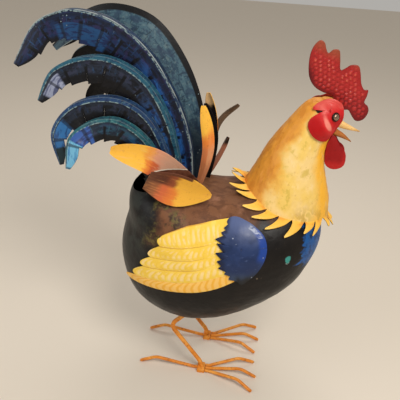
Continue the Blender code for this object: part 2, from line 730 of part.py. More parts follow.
def make_wing(side, suffix, group):
    """One sheet on the flank: bands that bulge between creases, each with its own rounded end."""
    bands = len(WING_BANDS) - 1
    rows = 2 * bands
    top = smooth_path([(x, 0.0, z) for x, z in WING_TOP], WING_COLUMNS + 1)
    bottom = smooth_path([(x, 0.0, z) for x, z in WING_BOTTOM], WING_COLUMNS + 1)
    vertices = []
    for row in range(rows + 1):
        band = min(row // 2, bands - 1)
        crest = row % 2 == 1
        if crest:
            share = (WING_BANDS[band] + WING_BANDS[band + 1]) / 2
            end = WING_ENDS[band]
        else:
            share = WING_BANDS[row // 2]
            end = WING_NOTCHES[row // 2]
        start = top[0].lerp(bottom[0], share)
        inner = top[WING_COLUMNS // 2].lerp(bottom[WING_COLUMNS // 2], share)
        line = smooth_path([start, inner, (end[0], 0.0, end[1])], WING_COLUMNS + 1)
        if row == 0:
            line = top
        if row == rows:
            line = bottom
        for column, point in enumerate(line):
            along = column / WING_COLUMNS
            fade = math.sin(math.pi / 2 * min(along * WING_SWELL, 1.0))
            lift = DRAPE + WING_TIP_LIFT * along ** 4 * row / rows
            if crest:
                lift += WING_BULGE * fade
            y = flank_y(point.x, point.z) + lift
            vertices.append(Vector((point.x, side * y, point.z)))
    width = WING_COLUMNS + 1
    faces = []
    for row in range(rows):
        for column in range(WING_COLUMNS):
            low = row * width + column
            faces.append((low, low + 1, low + width + 1, low + width))
    wing = add_mesh("wing_" + suffix, vertices, faces, "yellow", group)
    face_outward_from_middle(wing, side)
    thicken(wing, WING_SHEET, 1.0)


def make_shoulder(side, suffix, group):
    """A domed round plate over the front of the wing, its rear edge cut into claws."""
    rim = SHOULDER_CLAWS + SHOULDER_FRONT
    spokes = len(rim)
    turns = sorted(math.atan2(z, x) % (2 * math.pi) for x, z in rim)
    first = min(range(spokes), key=lambda k: abs(turns[k] - math.atan2(rim[0][1], rim[0][0])))
    front_x = SHOULDER_X + SHOULDER_LENGTH / 2

    def place(x, z, share):
        rear_share = min(max((front_x - x) / (front_x - WING_TOP[0][0]), 0.0), 1.0)
        lift = DRAPE + SHOULDER_OVER_WING * rear_share + SHOULDER_DOME * (1.0 - share * share)
        return Vector((x, side * (flank_y(x, z) + lift), z))

    vertices = [place(SHOULDER_X, SHOULDER_Z, 0.0)]
    for spoke in range(spokes):
        turn = turns[(first + spoke) % spokes]
        vertices.append(place(
            SHOULDER_X + SHOULDER_LENGTH / 2 * SHOULDER_INNER * math.cos(turn),
            SHOULDER_Z + SHOULDER_HEIGHT / 2 * SHOULDER_INNER * math.sin(turn),
            SHOULDER_INNER,
        ))
    for x, z in rim:
        vertices.append(place(SHOULDER_X + x, SHOULDER_Z + z, 1.0))
    faces = []
    for spoke in range(spokes):
        after = (spoke + 1) % spokes
        faces.append((0, 1 + spoke, 1 + after))
        faces.append((1 + spoke, 1 + spokes + spoke, 1 + spokes + after, 1 + after))
    plate = add_mesh("wing_shoulder_" + suffix, vertices, faces, "navy", group)
    face_outward_from_middle(plate, side)
    thicken(plate, WING_SHEET, 1.0)


def feather_width(share):
    """Width of a sickle along its length as a share of its full width."""
    if share < FULL_FROM:
        return ROOT_WIDTH + (1.0 - ROOT_WIDTH) * math.sin(math.pi / 2 * share / FULL_FROM)
    if share < FULL_TO:
        return 1.0
    if share < TIP_FROM:
        return 1.0 - (1.0 - TIP_WIDTH) * ((share - FULL_TO) / (TIP_FROM - FULL_TO)) ** TIP_TAPER
    return TIP_WIDTH - (TIP_WIDTH - POINT_WIDTH) * ((share - TIP_FROM) / (1.0 - TIP_FROM)) ** POINT_TAPER


def shelf_spread(share):
    """Width of a sickle's narrow shelf along its length as a share of its full width."""
    if share > SHELF_TAPER_FROM:
        return 1.0 - SHELF_TAPER * (share - SHELF_TAPER_FROM) / (1.0 - SHELF_TAPER_FROM)
    return SHELF_ROOT + (1.0 - SHELF_ROOT) * min(1.0, share / SHELF_FULL_FROM)


def make_sickle(name, kind, side, core, group):
    """A curved tail feather folded along its ridge, with a slit and saw cut hanging half."""
    root_y, tip_y, width, lean_root, lean_tip, shelf, slits = SICKLE_FORMS[kind]
    ridge_points = SICKLE_RIDGES[kind]
    last = len(ridge_points) - 1
    path = [
        (x, side * (root_y + (tip_y - root_y) * (k / last) ** SICKLE_SPREAD), z)
        for k, (x, z) in enumerate(ridge_points)
    ]
    stations = 2 * slits
    fine = smooth_path(path, 10 * stations)
    length = sum((b - a).length for a, b in zip(fine, fine[1:]))
    slit_share = SLIT_WIDTH / length
    vertices = []
    for station in range(stations):
        tooth, end = divmod(station, 2)
        share = (tooth + end) / slits
        if end and tooth < slits - 1:
            share -= slit_share / 2
        if not end and tooth > 0:
            share += slit_share / 2
        place = min(int(share * (len(fine) - 1)), len(fine) - 2)
        point = fine[place].lerp(fine[place + 1], share * (len(fine) - 1) - place)
        tangent = (fine[min(place + 2, len(fine) - 1)] - fine[max(place - 1, 0)]).normalized()
        hollow = Vector((-tangent.z, 0.0, tangent.x)).normalized()
        out = Vector((0.0, side, 0.0))
        lean = math.radians(lean_root + (lean_tip - lean_root) * share)
        hang = hollow * math.cos(lean) + out * math.sin(lean)
        shelf_angle = CROWN_SHELF_ANGLE
        if kind != "crown":
            shelf_angle = SHELF_ANGLE_ROOT + (SHELF_ANGLE_TIP - SHELF_ANGLE_ROOT) * share
        shelf_angle = math.radians(shelf_angle)
        flat = hollow * math.cos(shelf_angle) - out * math.sin(shelf_angle)
        breadth = width * feather_width(share)
        saw = SAW_STEP * (-0.5 if end else 0.5) * min(1.0, 4 * share)
        vertices.append(point + flat * shelf * shelf_spread(share))
        vertices.append(point)
        vertices.append(point + hang * breadth * (1.0 - SLIT_DEPTH))
        vertices.append(point + hang * (breadth - saw))
    faces = []
    for station in range(stations - 1):
        low = 4 * station
        faces.append((low, low + 1, low + 5, low + 4))
        faces.append((low + 1, low + 2, low + 6, low + 5))
        if station % 2 == 0:
            faces.append((low + 2, low + 3, low + 7, low + 6))
    feather = add_mesh(name, vertices, faces, "blue", group)
    face_outward_from_middle(feather, side)
    thicken(feather, FEATHER_SHEET, 0.0)
    cut(feather, core)


def leaf_width(share, form):
    """Width of a cover feather along its length as a share of its full width."""
    widest, root_width, bluntness = form
    if share < widest:
        return root_width + (1.0 - root_width) * math.sin(math.pi / 2 * share / widest)
    past = (share - widest) / (1.02 - widest)
    return math.cos(math.pi / 2 * past) ** bluntness


def make_leaf(name, root, middle, tip, across, width, fold, form, core, group):
    """A small leaf-shaped cover feather with a shallow fold down its middle."""
    stations = LEAF_STATIONS
    path = smooth_path([root, middle, tip], stations)
    sideways = Vector(across).normalized()
    vertices = []
    for k, point in enumerate(path):
        share = k / (stations - 1)
        tangent = (path[min(k + 1, stations - 1)] - path[max(k - 1, 0)]).normalized()
        spread = (sideways - tangent * sideways.dot(tangent)).normalized()
        normal = tangent.cross(spread)
        half = width / 2 * leaf_width(share, form)
        vertices.append(point - spread * half)
        vertices.append(point + normal * fold * leaf_width(share, form))
        vertices.append(point + spread * half)
    faces = []
    for k in range(stations - 1):
        low = 3 * k
        faces.append((low, low + 1, low + 4, low + 3))
        faces.append((low + 1, low + 2, low + 5, low + 4))
    leaf = add_mesh(name, vertices, faces, "amber", group)
    thicken(leaf, LEAF_SHEET, 0.0)
    cut(leaf, core)


def leg_path(side):
    """Centre line of a leg rod: out of the belly, round the knee and down on to the foot."""
    hip = Vector((HIP[0], side * FOOT_SPACING / 2, HIP[1]))
    knee = Vector((KNEE[0], side * FOOT_SPACING / 2, KNEE[1]))
    ankle = Vector((0.0, side * FOOT_SPACING / 2, PAD_HEIGHT + ANKLE_RISE))
    to_hip = (hip - knee).normalized()
    to_ankle = (ankle - knee).normalized()
    start = knee + to_hip * KNEE_BEND
    finish = knee + to_ankle * KNEE_BEND
    bend = []
    steps = 4
    for k in range(steps + 1):
        t = k / steps
        bend.append(start * (1 - t) ** 2 + knee * 2 * t * (1 - t) + finish * t * t)
    sole = ankle.copy()
    sole.z = PAD_HEIGHT + GAP
    above = ankle - to_ankle * ANKLE_RISE
    near = ankle.copy()
    near.z = PAD_HEIGHT + ANKLE_RISE * 0.4
    return [hip] + bend + [above, near, sole]


def make_leg(side, suffix, group):
    path = leg_path(side)
    rod("leg_" + suffix, path, [LEG_RADIUS] * len(path), "orange", group)


def hip_cutter(side, suffix, group):
    """A round plug along the thigh that opens the belly for the leg rod."""
    path = leg_path(side)
    outer = path[1] + (path[1] - path[0]) * 0.2
    inner = path[0] + (path[0] - path[1]) * 0.2
    plug = rod(
        "hip_cutter_" + suffix, [inner, outer], [LEG_RADIUS + 2 * GAP] * 2, "umber", group
    )
    make_cutter(plug)
    return plug


def make_foot(side, suffix, group):
    """The flat weld pad under the ankle and four toes that rise to a knuckle and bend down."""
    centre_y = side * FOOT_SPACING / 2
    bpy.ops.mesh.primitive_cube_add(size=1.0)
    pad = bpy.context.object
    pad.name = "ankle_pad_" + suffix
    pad.data.transform(stretch(PAD_LENGTH, PAD_WIDTH, PAD_HEIGHT))
    pad.location = (0.0, centre_y, PAD_HEIGHT / 2)
    pad.data.materials.append(paint("orange"))
    move_to(pad, group)
    for toe, (place, knuckle_x, knuckle_y, tip_x, tip_y) in TOES.items():
        forward = math.copysign(1.0, tip_x)
        root = Vector((
            forward * (PAD_LENGTH / 2 + GAP), centre_y + side * place * TOE_SPREAD, PAD_HEIGHT / 2,
        ))
        straight = root + Vector((forward * TOE_STRAIGHT, 0.0, 0.0))
        knuckle = Vector((knuckle_x, centre_y + side * knuckle_y, KNUCKLE_Z))
        tip = Vector((tip_x, centre_y + side * tip_y, TOE_TIP_Z))
        to_root = (straight - knuckle).normalized()
        to_tip = (tip - knuckle).normalized()
        path = [
            root,
            straight,
            knuckle + to_root * TOE_BEND,
            knuckle + (to_root + to_tip) * TOE_BEND * KNUCKLE_ROUND,
            knuckle + to_tip * TOE_BEND,
            tip,
        ]
        rod("toe_" + toe + "_" + suffix, path, [TOE_RADIUS] * len(path), "orange", group)


def stand_on_origin(group, cutters):
    """Move everything so that the middle of the footprint box is at the origin."""
    bpy.context.view_layer.update()
    graph = bpy.context.evaluated_depsgraph_get()
    low = Vector((math.inf,) * 3)
    high = Vector((-math.inf,) * 3)
    for thing in group.objects:
        shown = thing.evaluated_get(graph)
        for vertex in shown.data.vertices:
            place = shown.matrix_world @ vertex.co
            low = Vector(map(min, low, place))
            high = Vector(map(max, high, place))
    shift = Vector(((low.x + high.x) / 2, (low.y + high.y) / 2, low.z))
    for thing in list(group.objects) + list(cutters.objects):
        thing.location -= shift


def main():
    clear_scene()
    parts = new_collection("metal_rooster")
    cutters = new_collection("cutters")

    body_core = body_skin("body_core", GAP, "body", cutters)
    make_cutter(body_core)
    head_core = make_head_core(cutters)

    body = body_skin("body_shell", 0.0, "body", parts)
    thicken(body, BODY_WALL, -1.0)
    cut(body, opening_cutter(cutters))
    make_neck(parts)
    make_comb(head_core, parts)
    make_beak(head_core, parts)

    for side, suffix in ((-1.0, "right"), (1.0, "left")):
        make_face(side, suffix, head_core, parts)
        make_wing(side, suffix, parts)
        make_shoulder(side, suffix, parts)
        cut(body, hip_cutter(side, suffix, cutters))
        make_leg(side, suffix, parts)
        make_foot(side, suffix, parts)
        for kind in ("upper", "middle", "lower"):
            make_sickle("sickle_" + kind + "_" + suffix, kind, side, body_core, parts)
    make_sickle("sickle_top_right", "top", -1.0, body_core, parts)
    make_sickle("sickle_top_left", "crown", 1.0, body_core, parts)

    for name, leaf in LEAVES.items():
        make_leaf(name, *leaf, body_core, parts)
        if name in MIRRORED_LEAVES:
            root, middle, tip, across, width, fold, form = leaf
            flipped = [(x, -y, z) for x, y, z in (root, middle, tip, across)]
            make_leaf(name + "_left", *flipped, width, -fold, form, body_core, parts)

    stand_on_origin(parts, cutters)


main()
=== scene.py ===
"""Looks of the painted sheet metal rooster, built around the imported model.

Everything is drawn in metres with x and y measured from the middle between the two ankles, as in
the part's source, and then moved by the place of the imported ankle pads.
"""
import math

import bmesh
import bpy
import numpy as np
from mathutils import Matrix, Vector
from mathutils.bvhtree import BVHTree


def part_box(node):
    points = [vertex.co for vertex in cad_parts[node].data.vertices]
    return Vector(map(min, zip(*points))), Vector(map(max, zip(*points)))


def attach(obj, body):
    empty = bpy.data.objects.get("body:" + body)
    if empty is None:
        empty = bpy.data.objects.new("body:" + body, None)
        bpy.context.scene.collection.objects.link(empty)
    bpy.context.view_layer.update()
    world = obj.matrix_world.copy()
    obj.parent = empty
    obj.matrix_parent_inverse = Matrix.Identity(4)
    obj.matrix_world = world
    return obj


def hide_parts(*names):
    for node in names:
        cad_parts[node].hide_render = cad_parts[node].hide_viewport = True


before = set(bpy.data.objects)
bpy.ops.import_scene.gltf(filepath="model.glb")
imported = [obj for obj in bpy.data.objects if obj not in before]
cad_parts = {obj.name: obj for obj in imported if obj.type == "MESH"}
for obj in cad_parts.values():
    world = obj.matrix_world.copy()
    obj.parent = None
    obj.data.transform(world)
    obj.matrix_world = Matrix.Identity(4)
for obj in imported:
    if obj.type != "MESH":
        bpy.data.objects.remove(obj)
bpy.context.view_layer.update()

# Sizes, as in the solids. Here the face plates' outline has more points, one point of the comb and
# one of the crown feather lie up to 1.5 mm further in, the wings' bands bulge less, and the slits
# in the feathers are thin cut lines.
BODY_WALL = 0.0015
NECK_WALL = 0.0015
FEATHER_SHEET = 0.0016
LEAF_SHEET = 0.0014
WING_SHEET = 0.0015
PLATE_SHEET = 0.0020
COMB_SHEET = 0.0030
GAP = 0.0004
DRAPE = 0.0012

BODY_CENTRE_X = 0.020
BODY_CENTRE_Z = 0.365
BODY_HALF_WIDTH = 0.170
BODY_FULLNESS = 0.90
BODY_OUTLINE = (
    (0, 0.232), (30, 0.283), (60, 0.235), (90, 0.197), (116, 0.222), (132, 0.284),
    (143, 0.290), (156, 0.262), (180, 0.258), (210, 0.252), (240, 0.216), (270, 0.180),
    (300, 0.166), (330, 0.182),
)
OPENING_X = -0.152
OPENING_LENGTH = 0.116
OPENING_WIDTH = 0.160

NECK_RINGS = (
    ((0.073, 0.583), (0.289, 0.500), 0.094),
    ((0.095, 0.629), (0.282, 0.563), 0.083),
    ((0.120, 0.685), (0.262, 0.635), 0.067),
    ((0.157, 0.742), (0.258, 0.694), 0.053),
    ((0.189, 0.787), (0.278, 0.743), 0.045),
    ((0.210, 0.802), (0.283, 0.773), 0.037),
    ((0.228, 0.805), (0.278, 0.789), 0.023),
)
NECK_TEETH = 22
TOOTH_LIFT = 0.014
# from the middle of each claw's root to its tip, nape to throat on the right side
TOOTH_REACH = (
    (-0.035, 0.001, 0.020), (-0.047, 0.003, 0.004), (-0.045, 0.010, -0.007), (-0.047, -0.015, -0.005),
    (-0.051, -0.025, -0.006), (-0.048, -0.037, -0.016), (-0.032, -0.041, -0.027),
    (-0.015, -0.028, -0.021), (-0.017, -0.033, -0.032), (0.011, -0.017, -0.016),
    (0.016, -0.008, -0.018),
)
COLLAR_SAG = 0.20
COLLAR_SAG_AT = 72.0
COLLAR_SAG_SPREAD = 28.0
COLLAR_RISE = 0.24
COLLAR_RISE_AT = 150.0
COLLAR_RISE_SPREAD = 24.0
CROWN_FORWARD = 0.004
CROWN_RISE = 0.008

COMB_OUTLINE = (
    (0.280, 0.782), (0.262, 0.794), (0.251, 0.814), (0.230, 0.819), (0.208, 0.832), (0.194, 0.856),
    (0.190, 0.893), (0.195, 0.920), (0.208, 0.936), (0.219, 0.931), (0.224, 0.918), (0.230, 0.909),
    (0.240, 0.918), (0.253, 0.917), (0.258, 0.896), (0.262, 0.874), (0.273, 0.879), (0.284, 0.887),
    (0.300, 0.886), (0.307, 0.870), (0.313, 0.846), (0.322, 0.832), (0.331, 0.832), (0.331, 0.819),
    (0.327, 0.803), (0.336, 0.795), (0.3395, 0.781), (0.331, 0.763), (0.315, 0.758), (0.303, 0.770),
    (0.294, 0.782),
)
EYE_X = 0.262
EYE_Z = 0.776
EYE_RADIUS = 0.0105
EYE_DOME = 0.0060
EYE_SEAT = 0.0012
FACE_X = 0.250
FACE_Z = 0.7924
FACE_OUTLINE = (
    (7, 0.0293), (23, 0.0267), (37, 0.0231), (65, 0.0202), (96, 0.0195), (132, 0.0209),
    (156, 0.0253), (168, 0.0323), (179, 0.0384), (184, 0.0399), (187, 0.0382), (188.5, 0.0150),
    (193, 0.0130), (198, 0.0165), (202, 0.0231), (204.5, 0.0337), (208, 0.0461), (215, 0.0556),
    (222, 0.0612), (232, 0.0658), (243, 0.0700), (254, 0.0734), (263, 0.0760), (270, 0.0759),
    (275, 0.0710), (279, 0.0645), (285, 0.0579), (292, 0.0512), (301, 0.0479), (311, 0.0453),
    (325, 0.0404), (344, 0.0338),
)
FACE_RIM_Y = 0.016
FACE_LIFT = 0.0030
BEAK_UPPER = (
    (0.256, 0.757, 0.0125), (0.283, 0.7465, 0.0088), (0.303, 0.740, 0.0058), (0.3285, 0.7328, 0.0012),
)
BEAK_LOWER = (
    (0.250, 0.738, 0.0105), (0.272, 0.7265, 0.0086), (0.291, 0.7185, 0.0058), (0.3128, 0.7058, 0.0010),
)
WATTLE_OUTLINE = (
    (0.259, 0.722), (0.270, 0.7215), (0.277, 0.7155), (0.2817, 0.7065), (0.288, 0.697),
    (0.297, 0.690), (0.303, 0.680), (0.305, 0.667), (0.3035, 0.653), (0.2965, 0.6445),
    (0.2855, 0.6398), (0.273, 0.640), (0.2625, 0.646), (0.2565, 0.657), (0.2555, 0.675),
    (0.256, 0.695), (0.257, 0.711),
)
WATTLE_Y = 0.012
WATTLE_HINGE_Z = 0.728
WATTLE_SPLAY = 6.0

WING_TOP = ((0.062, 0.531), (0.044, 0.526), (-0.012, 0.513), (-0.064, 0.500), (-0.100, 0.484),
            (-0.113, 0.470))
WING_ENDS = ((-0.119, 0.464), (-0.141, 0.427), (-0.162, 0.393), (-0.183, 0.357), (-0.205, 0.330))
WING_NOTCHES = ((-0.113, 0.470), (-0.112, 0.452), (-0.136, 0.414), (-0.154, 0.382), (-0.176, 0.344),
                (-0.200, 0.320))
WING_BOTTOM = ((0.074, 0.387), (0.034, 0.362), (-0.010, 0.344), (-0.060, 0.333), (-0.120, 0.325),
               (-0.200, 0.320))
WING_BANDS = (0.0, 0.28, 0.46, 0.62, 0.83, 1.0)
WING_TIP_LIFT = 0.010
WING_BULGE = 0.0022
SHOULDER_X = 0.0843
SHOULDER_Z = 0.4726
# x, z of the shoulder plate's rim from its middle: ten claws on the rear edge, then the smooth front
SHOULDER_CLAWS = (
    (-0.0395, 0.0538), (-0.0413, 0.0502), (-0.0338, 0.0484), (-0.0468, 0.0380), (-0.0374, 0.0356),
    (-0.0523, 0.0286), (-0.0455, 0.0226), (-0.0649, 0.0137), (-0.0412, 0.0045), (-0.0603, 0.0045),
    (-0.0416, -0.0129), (-0.0609, -0.0166), (-0.0419, -0.0316), (-0.0556, -0.0352),
    (-0.0398, -0.0487), (-0.0509, -0.0515), (-0.0279, -0.0597), (-0.0351, -0.0650),
    (-0.0121, -0.0704), (-0.0237, -0.0782), (-0.0036, -0.0818),
)
SHOULDER_FRONT = (
    (0.0080, -0.0914), (0.0240, -0.0780), (0.0400, -0.0600), (0.0530, -0.0350), (0.0586, -0.0080),
    (0.0555, 0.0130), (0.0470, 0.0285), (0.0332, 0.0400), (0.0150, 0.0510), (-0.0083, 0.0587),
    (-0.0221, 0.0603), (-0.0337, 0.0579),
)
SHOULDER_LENGTH = 0.118
SHOULDER_HEIGHT = 0.146
SHOULDER_INNER = 0.45
SHOULDER_DOME = 0.006
SHOULDER_OVER_WING = 0.0048

SICKLE_RIDGES = {
    "crown": ((-0.040, 0.520), (-0.033, 0.640), (-0.045, 0.750), (-0.090, 0.860), (-0.165, 0.948),
              (-0.265, 0.9725), (-0.350, 0.942), (-0.425, 0.860)),
    "top": ((-0.056, 0.520), (-0.065, 0.660), (-0.100, 0.770), (-0.165, 0.879), (-0.245, 0.945),
            (-0.325, 0.967), (-0.380, 0.959), (-0.432, 0.926), (-0.479, 0.840)),
    "upper": ((-0.072, 0.520), (-0.086, 0.620), (-0.115, 0.735), (-0.168, 0.826), (-0.240, 0.872),
              (-0.310, 0.875), (-0.378, 0.842), (-0.408, 0.775)),
    "middle": ((-0.088, 0.520), (-0.106, 0.627), (-0.148, 0.732), (-0.205, 0.783), (-0.271, 0.793),
               (-0.335, 0.768), (-0.370, 0.710), (-0.347, 0.643)),
    "lower": ((-0.104, 0.500), (-0.126, 0.632), (-0.160, 0.703), (-0.215, 0.749), (-0.270, 0.752),
              (-0.318, 0.718), (-0.319, 0.655)),
}
# root y, tip y, hanging width, lean at root, lean at tip, shelf width, slits
SICKLE_FORMS = {
    "crown": (0.016, 0.056, 0.072, 26.0, 32.0, 0.066, 13),
    "top": (0.012, 0.055, 0.074, 5.0, 12.0, 0.018, 14),
    "upper": (0.038, 0.105, 0.064, 5.0, 12.0, 0.018, 12),
    "middle": (0.059, 0.155, 0.055, 5.0, 12.0, 0.018, 10),
    "lower": (0.076, 0.195, 0.050, 4.0, 12.0, 0.018, 9),
}
SICKLE_SPREAD = 1.4
FULL_FROM = 0.35
FULL_TO = 0.62
TIP_FROM = 0.93
ROOT_WIDTH = 0.34
TIP_WIDTH = 0.64
POINT_WIDTH = 0.14
SHELF_ROOT = 0.30
SHELF_FULL_FROM = 0.45
SHELF_TAPER_FROM = 0.80
SHELF_TAPER = 0.75
CROWN_SHELF_ANGLE = 20.0
SHELF_ANGLE_ROOT = 108.0
SHELF_ANGLE_TIP = 80.0
SLIT_WIDTH = 0.0003
SLIT_DEPTH = 0.58
SAW_STEP = 0.0070

# root, middle, tip, direction across, width, fold, then where it is widest, root width, bluntness
LEAVES = {
    "covert_rear": ((-0.035, -0.080, 0.556), (-0.130, -0.118, 0.652), (-0.2365, -0.126, 0.679),
                    (0.38, 0.06, 0.92), 0.070, 0.006, (0.50, 0.85, 0.5)),
    "covert_rear_left": ((-0.058, 0.094, 0.520), (-0.145, 0.123, 0.656), (-0.2345, 0.126, 0.680),
                         (0.38, -0.06, 0.92), 0.070, -0.006, (0.55, 0.42, 0.5)),
    "covert_flank": ((-0.147, -0.142, 0.620), (-0.070, -0.128, 0.591), (-0.001, -0.100, 0.573),
                     (0.05, -0.34, 0.94), 0.107, -0.008, (0.42, 0.60, 0.8)),
    "covert_upright": ((-0.046, -0.030, 0.540), (-0.0205, -0.038, 0.665), (-0.0365, -0.048, 0.778),
                       (1.00, 0.10, 0.10), 0.029, -0.004, (0.72, 0.30, 0.5)),
    "covert_dark": ((-0.032, 0.024, 0.530), (-0.018, 0.024, 0.672), (-0.040, 0.027, 0.758),
                    (0.95, -0.10, 0.05), 0.030, 0.003, (0.55, 0.42, 0.5)),
    "covert_far_high": ((-0.030, 0.090, 0.500), (-0.014, 0.088, 0.675), (0.037, 0.100, 0.737),
                        (0.32, 0.75, -0.58), 0.032, 0.004, (0.70, 0.35, 0.4)),
    "covert_far_low": ((-0.043, 0.064, 0.520), (-0.003, 0.080, 0.598), (0.017, 0.100, 0.647),
                       (0.32, 0.75, -0.58), 0.030, 0.004, (0.70, 0.30, 0.4)),
}
MIRRORED_LEAVES = ("covert_upright",)

FOOT_SPACING = 0.140
LEG_RADIUS = 0.0060
TOE_RADIUS = 0.0045
HIP = (-0.028, 0.214)
KNEE = (-0.093, 0.148)
KNEE_BEND = 0.024
PAD_LENGTH = 0.022
PAD_WIDTH = 0.034
PAD_HEIGHT = 0.012
ANKLE_RISE = 0.012
KNUCKLE_Z = 0.025
TOE_SPREAD = 0.0108
TOE_STRAIGHT = 0.010
TOE_BEND = 0.012
TOE_TIP_Z = 0.0042
TOES = {
    "inner": (-1, 0.104, -0.036, 0.148, -0.050),
    "middle": (0, 0.112, 0.006, 0.156, 0.009),
    "outer": (1, 0.106, 0.048, 0.147, 0.066),
    "back": (0, -0.130, 0.001, -0.176, 0.002),
}

SIDES = ((-1.0, "right"), (1.0, "left"))

pad_low, pad_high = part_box("ankle_pad_right")
SHIFT = Vector((
    (pad_low.x + pad_high.x) / 2, (pad_low.y + pad_high.y) / 2 + FOOT_SPACING / 2, 0.0,
))


# Curves and fields
def unit(v):
    v = np.asarray(v, float)
    return v / np.maximum(np.linalg.norm(v, axis=-1, keepdims=True), 1e-12)


def catmull(a, b, c, d, t):
    return 0.5 * (2 * b + (c - a) * t + (2 * a - 5 * b + 4 * c - d) * t * t
                  + (3 * b - a - 3 * c + d) * t ** 3)


def spline(points, count, closed=False):
    """Evenly spaced points on a smooth curve through the given ones."""
    nodes = np.array(points, float)
    n = len(nodes)
    t = np.linspace(0, 1, 24, endpoint=False)[:, None]
    dense = []
    for k in range(n if closed else n - 1):
        if closed:
            a, b, c, d = (nodes[(k + j - 1) % n] for j in range(4))
        else:
            a, b, c, d = nodes[max(k - 1, 0)], nodes[k], nodes[k + 1], nodes[min(k + 2, n - 1)]
        dense.append(catmull(a, b, c, d, t))
    dense.append(nodes[:1] if closed else nodes[-1:])
    dense = np.vstack(dense)
    lengths = np.r_[0, np.cumsum(np.linalg.norm(np.diff(dense, axis=0), axis=1))]
    want = np.linspace(0, lengths[-1], count, endpoint=not closed)
    return np.column_stack([np.interp(want, lengths, dense[:, k]) for k in range(nodes.shape[1])])


def polar_table(outline):
    angles, radii = [], []
    n = len(outline)
    for k in range(n):
        start, end = outline[k][0], outline[(k + 1) % n][0]
        if end <= start:
            end += 360.0
        a, b, c, d = (outline[(k + j - 1) % n][1] for j in range(4))
        for t in np.linspace(0, 1, 20, endpoint=False):
            angles.append(start + (end - start) * t)
            radii.append(catmull(a, b, c, d, t))
    return np.array(angles), np.array(radii)


BODY_TABLE = polar_table(BODY_OUTLINE)
FACE_TABLE = tuple(np.array(FACE_OUTLINE).T)


def polar(table, angle):
    return np.interp(np.mod(angle, 360.0), table[0], table[1], period=360.0)


def body_points(angle, tilt, grow=0.0):
    """Points of the body's skin: angle in the side view in degrees, tilt toward a flank in radians."""
    reach = (polar(BODY_TABLE, angle) + grow) * np.abs(np.cos(tilt)) ** BODY_FULLNESS
    side = np.sign(tilt) * np.abs(np.sin(tilt)) ** BODY_FULLNESS
    return np.stack([
        BODY_CENTRE_X + reach * np.cos(np.radians(angle)),
        side * (BODY_HALF_WIDTH + grow),
        BODY_CENTRE_Z + reach * np.sin(np.radians(angle)),
    ], -1)


BODY_CENTRE = np.array((BODY_CENTRE_X, 0.0, BODY_CENTRE_Z))


def flank_y(x, z):
    """How far the body's skin is from the middle plane at x, z."""
    dx, dz = x - BODY_CENTRE_X, z - BODY_CENTRE_Z
    share = np.hypot(dx, dz) / polar(BODY_TABLE, np.degrees(np.arctan2(dz, dx)))
    cosine = np.minimum(share, 1.0) ** (1.0 / BODY_FULLNESS)
    return BODY_HALF_WIDTH * (1.0 - cosine * cosine) ** (BODY_FULLNESS / 2.0)


def lift_off_body(points, lift):
    """The points moved out from the body centre where they are nearer to its skin than lift."""
    arm = points - BODY_CENTRE
    reach = polar(BODY_TABLE, np.degrees(np.arctan2(arm[..., 2], arm[..., 0])))
    power = 2.0 / BODY_FULLNESS
    depth = (np.hypot(arm[..., 0], arm[..., 2]) / reach) ** power
    depth = (depth + (np.abs(arm[..., 1]) / BODY_HALF_WIDTH) ** power) ** (1.0 / power)
    length = np.linalg.norm(arm, axis=-1)
    wanted = np.maximum(length, length / depth + lift)
    return BODY_CENTRE + arm * (wanted / length)[..., None]


def hashed(a, b, seed):
    """A fixed number from 0 to 1 for each pair of whole numbers."""
    h = np.sin(a * 127.1 + b * 311.7 + seed * 74.7) * 43758.5453
    return h - np.floor(h)


def cells(a, b, seed=1, jitter=0.6):
    """Distance to the nearest of scattered points one unit apart, and that point's own number."""
    ia, ib = np.floor(a), np.floor(b)
    best = np.full(a.shape, 9.0)
    own = np.zeros(a.shape)
    for da in (-1, 0, 1):
        for db in (-1, 0, 1):
            ca, cb = ia + da, ib + db
            x = ca + 0.5 + (hashed(ca, cb, seed) - 0.5) * jitter
            y = cb + 0.5 + (hashed(ca, cb, seed + 9) - 0.5) * jitter
            far = np.hypot(a - x, b - y)
            own = np.where(far < best, hashed(ca, cb, seed + 5), own)
            best = np.minimum(best, far)
    return best, own


def ripple(a, b, seed=1):
    """Soft lumps from -1 to 1, about one unit across."""
    ia, ib = np.floor(a), np.floor(b)
    fa, fb = a - ia, b - ib
    fa, fb = fa * fa * (3 - 2 * fa), fb * fb * (3 - 2 * fb)
    low = hashed(ia, ib, seed) * (1 - fa) + hashed(ia + 1, ib, seed) * fa
    high = hashed(ia, ib + 1, seed) * (1 - fa) + hashed(ia + 1, ib + 1, seed) * fa
    return (low * (1 - fb) + high * fb) * 2 - 1


def ease(x, start, end):
    """Zero at the start, one at the end, smooth between."""
    t = np.clip((x - start) / (end - start), 0, 1)
    return t * t * (3 - 2 * t)


def rounded(start, corner, finish, count):
    """Points of a soft bend from start to finish that heads for the corner."""
    t = np.linspace(0, 1, count)[:, None]
    return start * (1 - t) ** 2 + corner * 2 * t * (1 - t) + finish * t * t


def between(start, finish, count):
    """Points evenly spread from start to finish."""
    return start + (finish - start) * np.linspace(0, 1, count)[:, None]


def circle(count):
    """Angles evenly spread round a circle."""
    return np.linspace(0, 2 * np.pi, count, endpoint=False)


# Meshes
def grid_faces(rows, columns, wrap=False, first=0):
    faces = []
    for row in range(rows - 1):
        low = first + row * columns
        for column in range(columns if wrap else columns - 1):
            after = (column + 1) % columns
            faces.append((low + column, low + after, low + columns + after, low + columns + column))
    return faces


def drum_faces(rings, columns):
    """Faces of a closed tube with a flat cap at either end."""
    total = rings * columns
    return grid_faces(rings, columns, wrap=True) + [
        tuple(reversed(range(columns))), tuple(range(total - columns, total))]


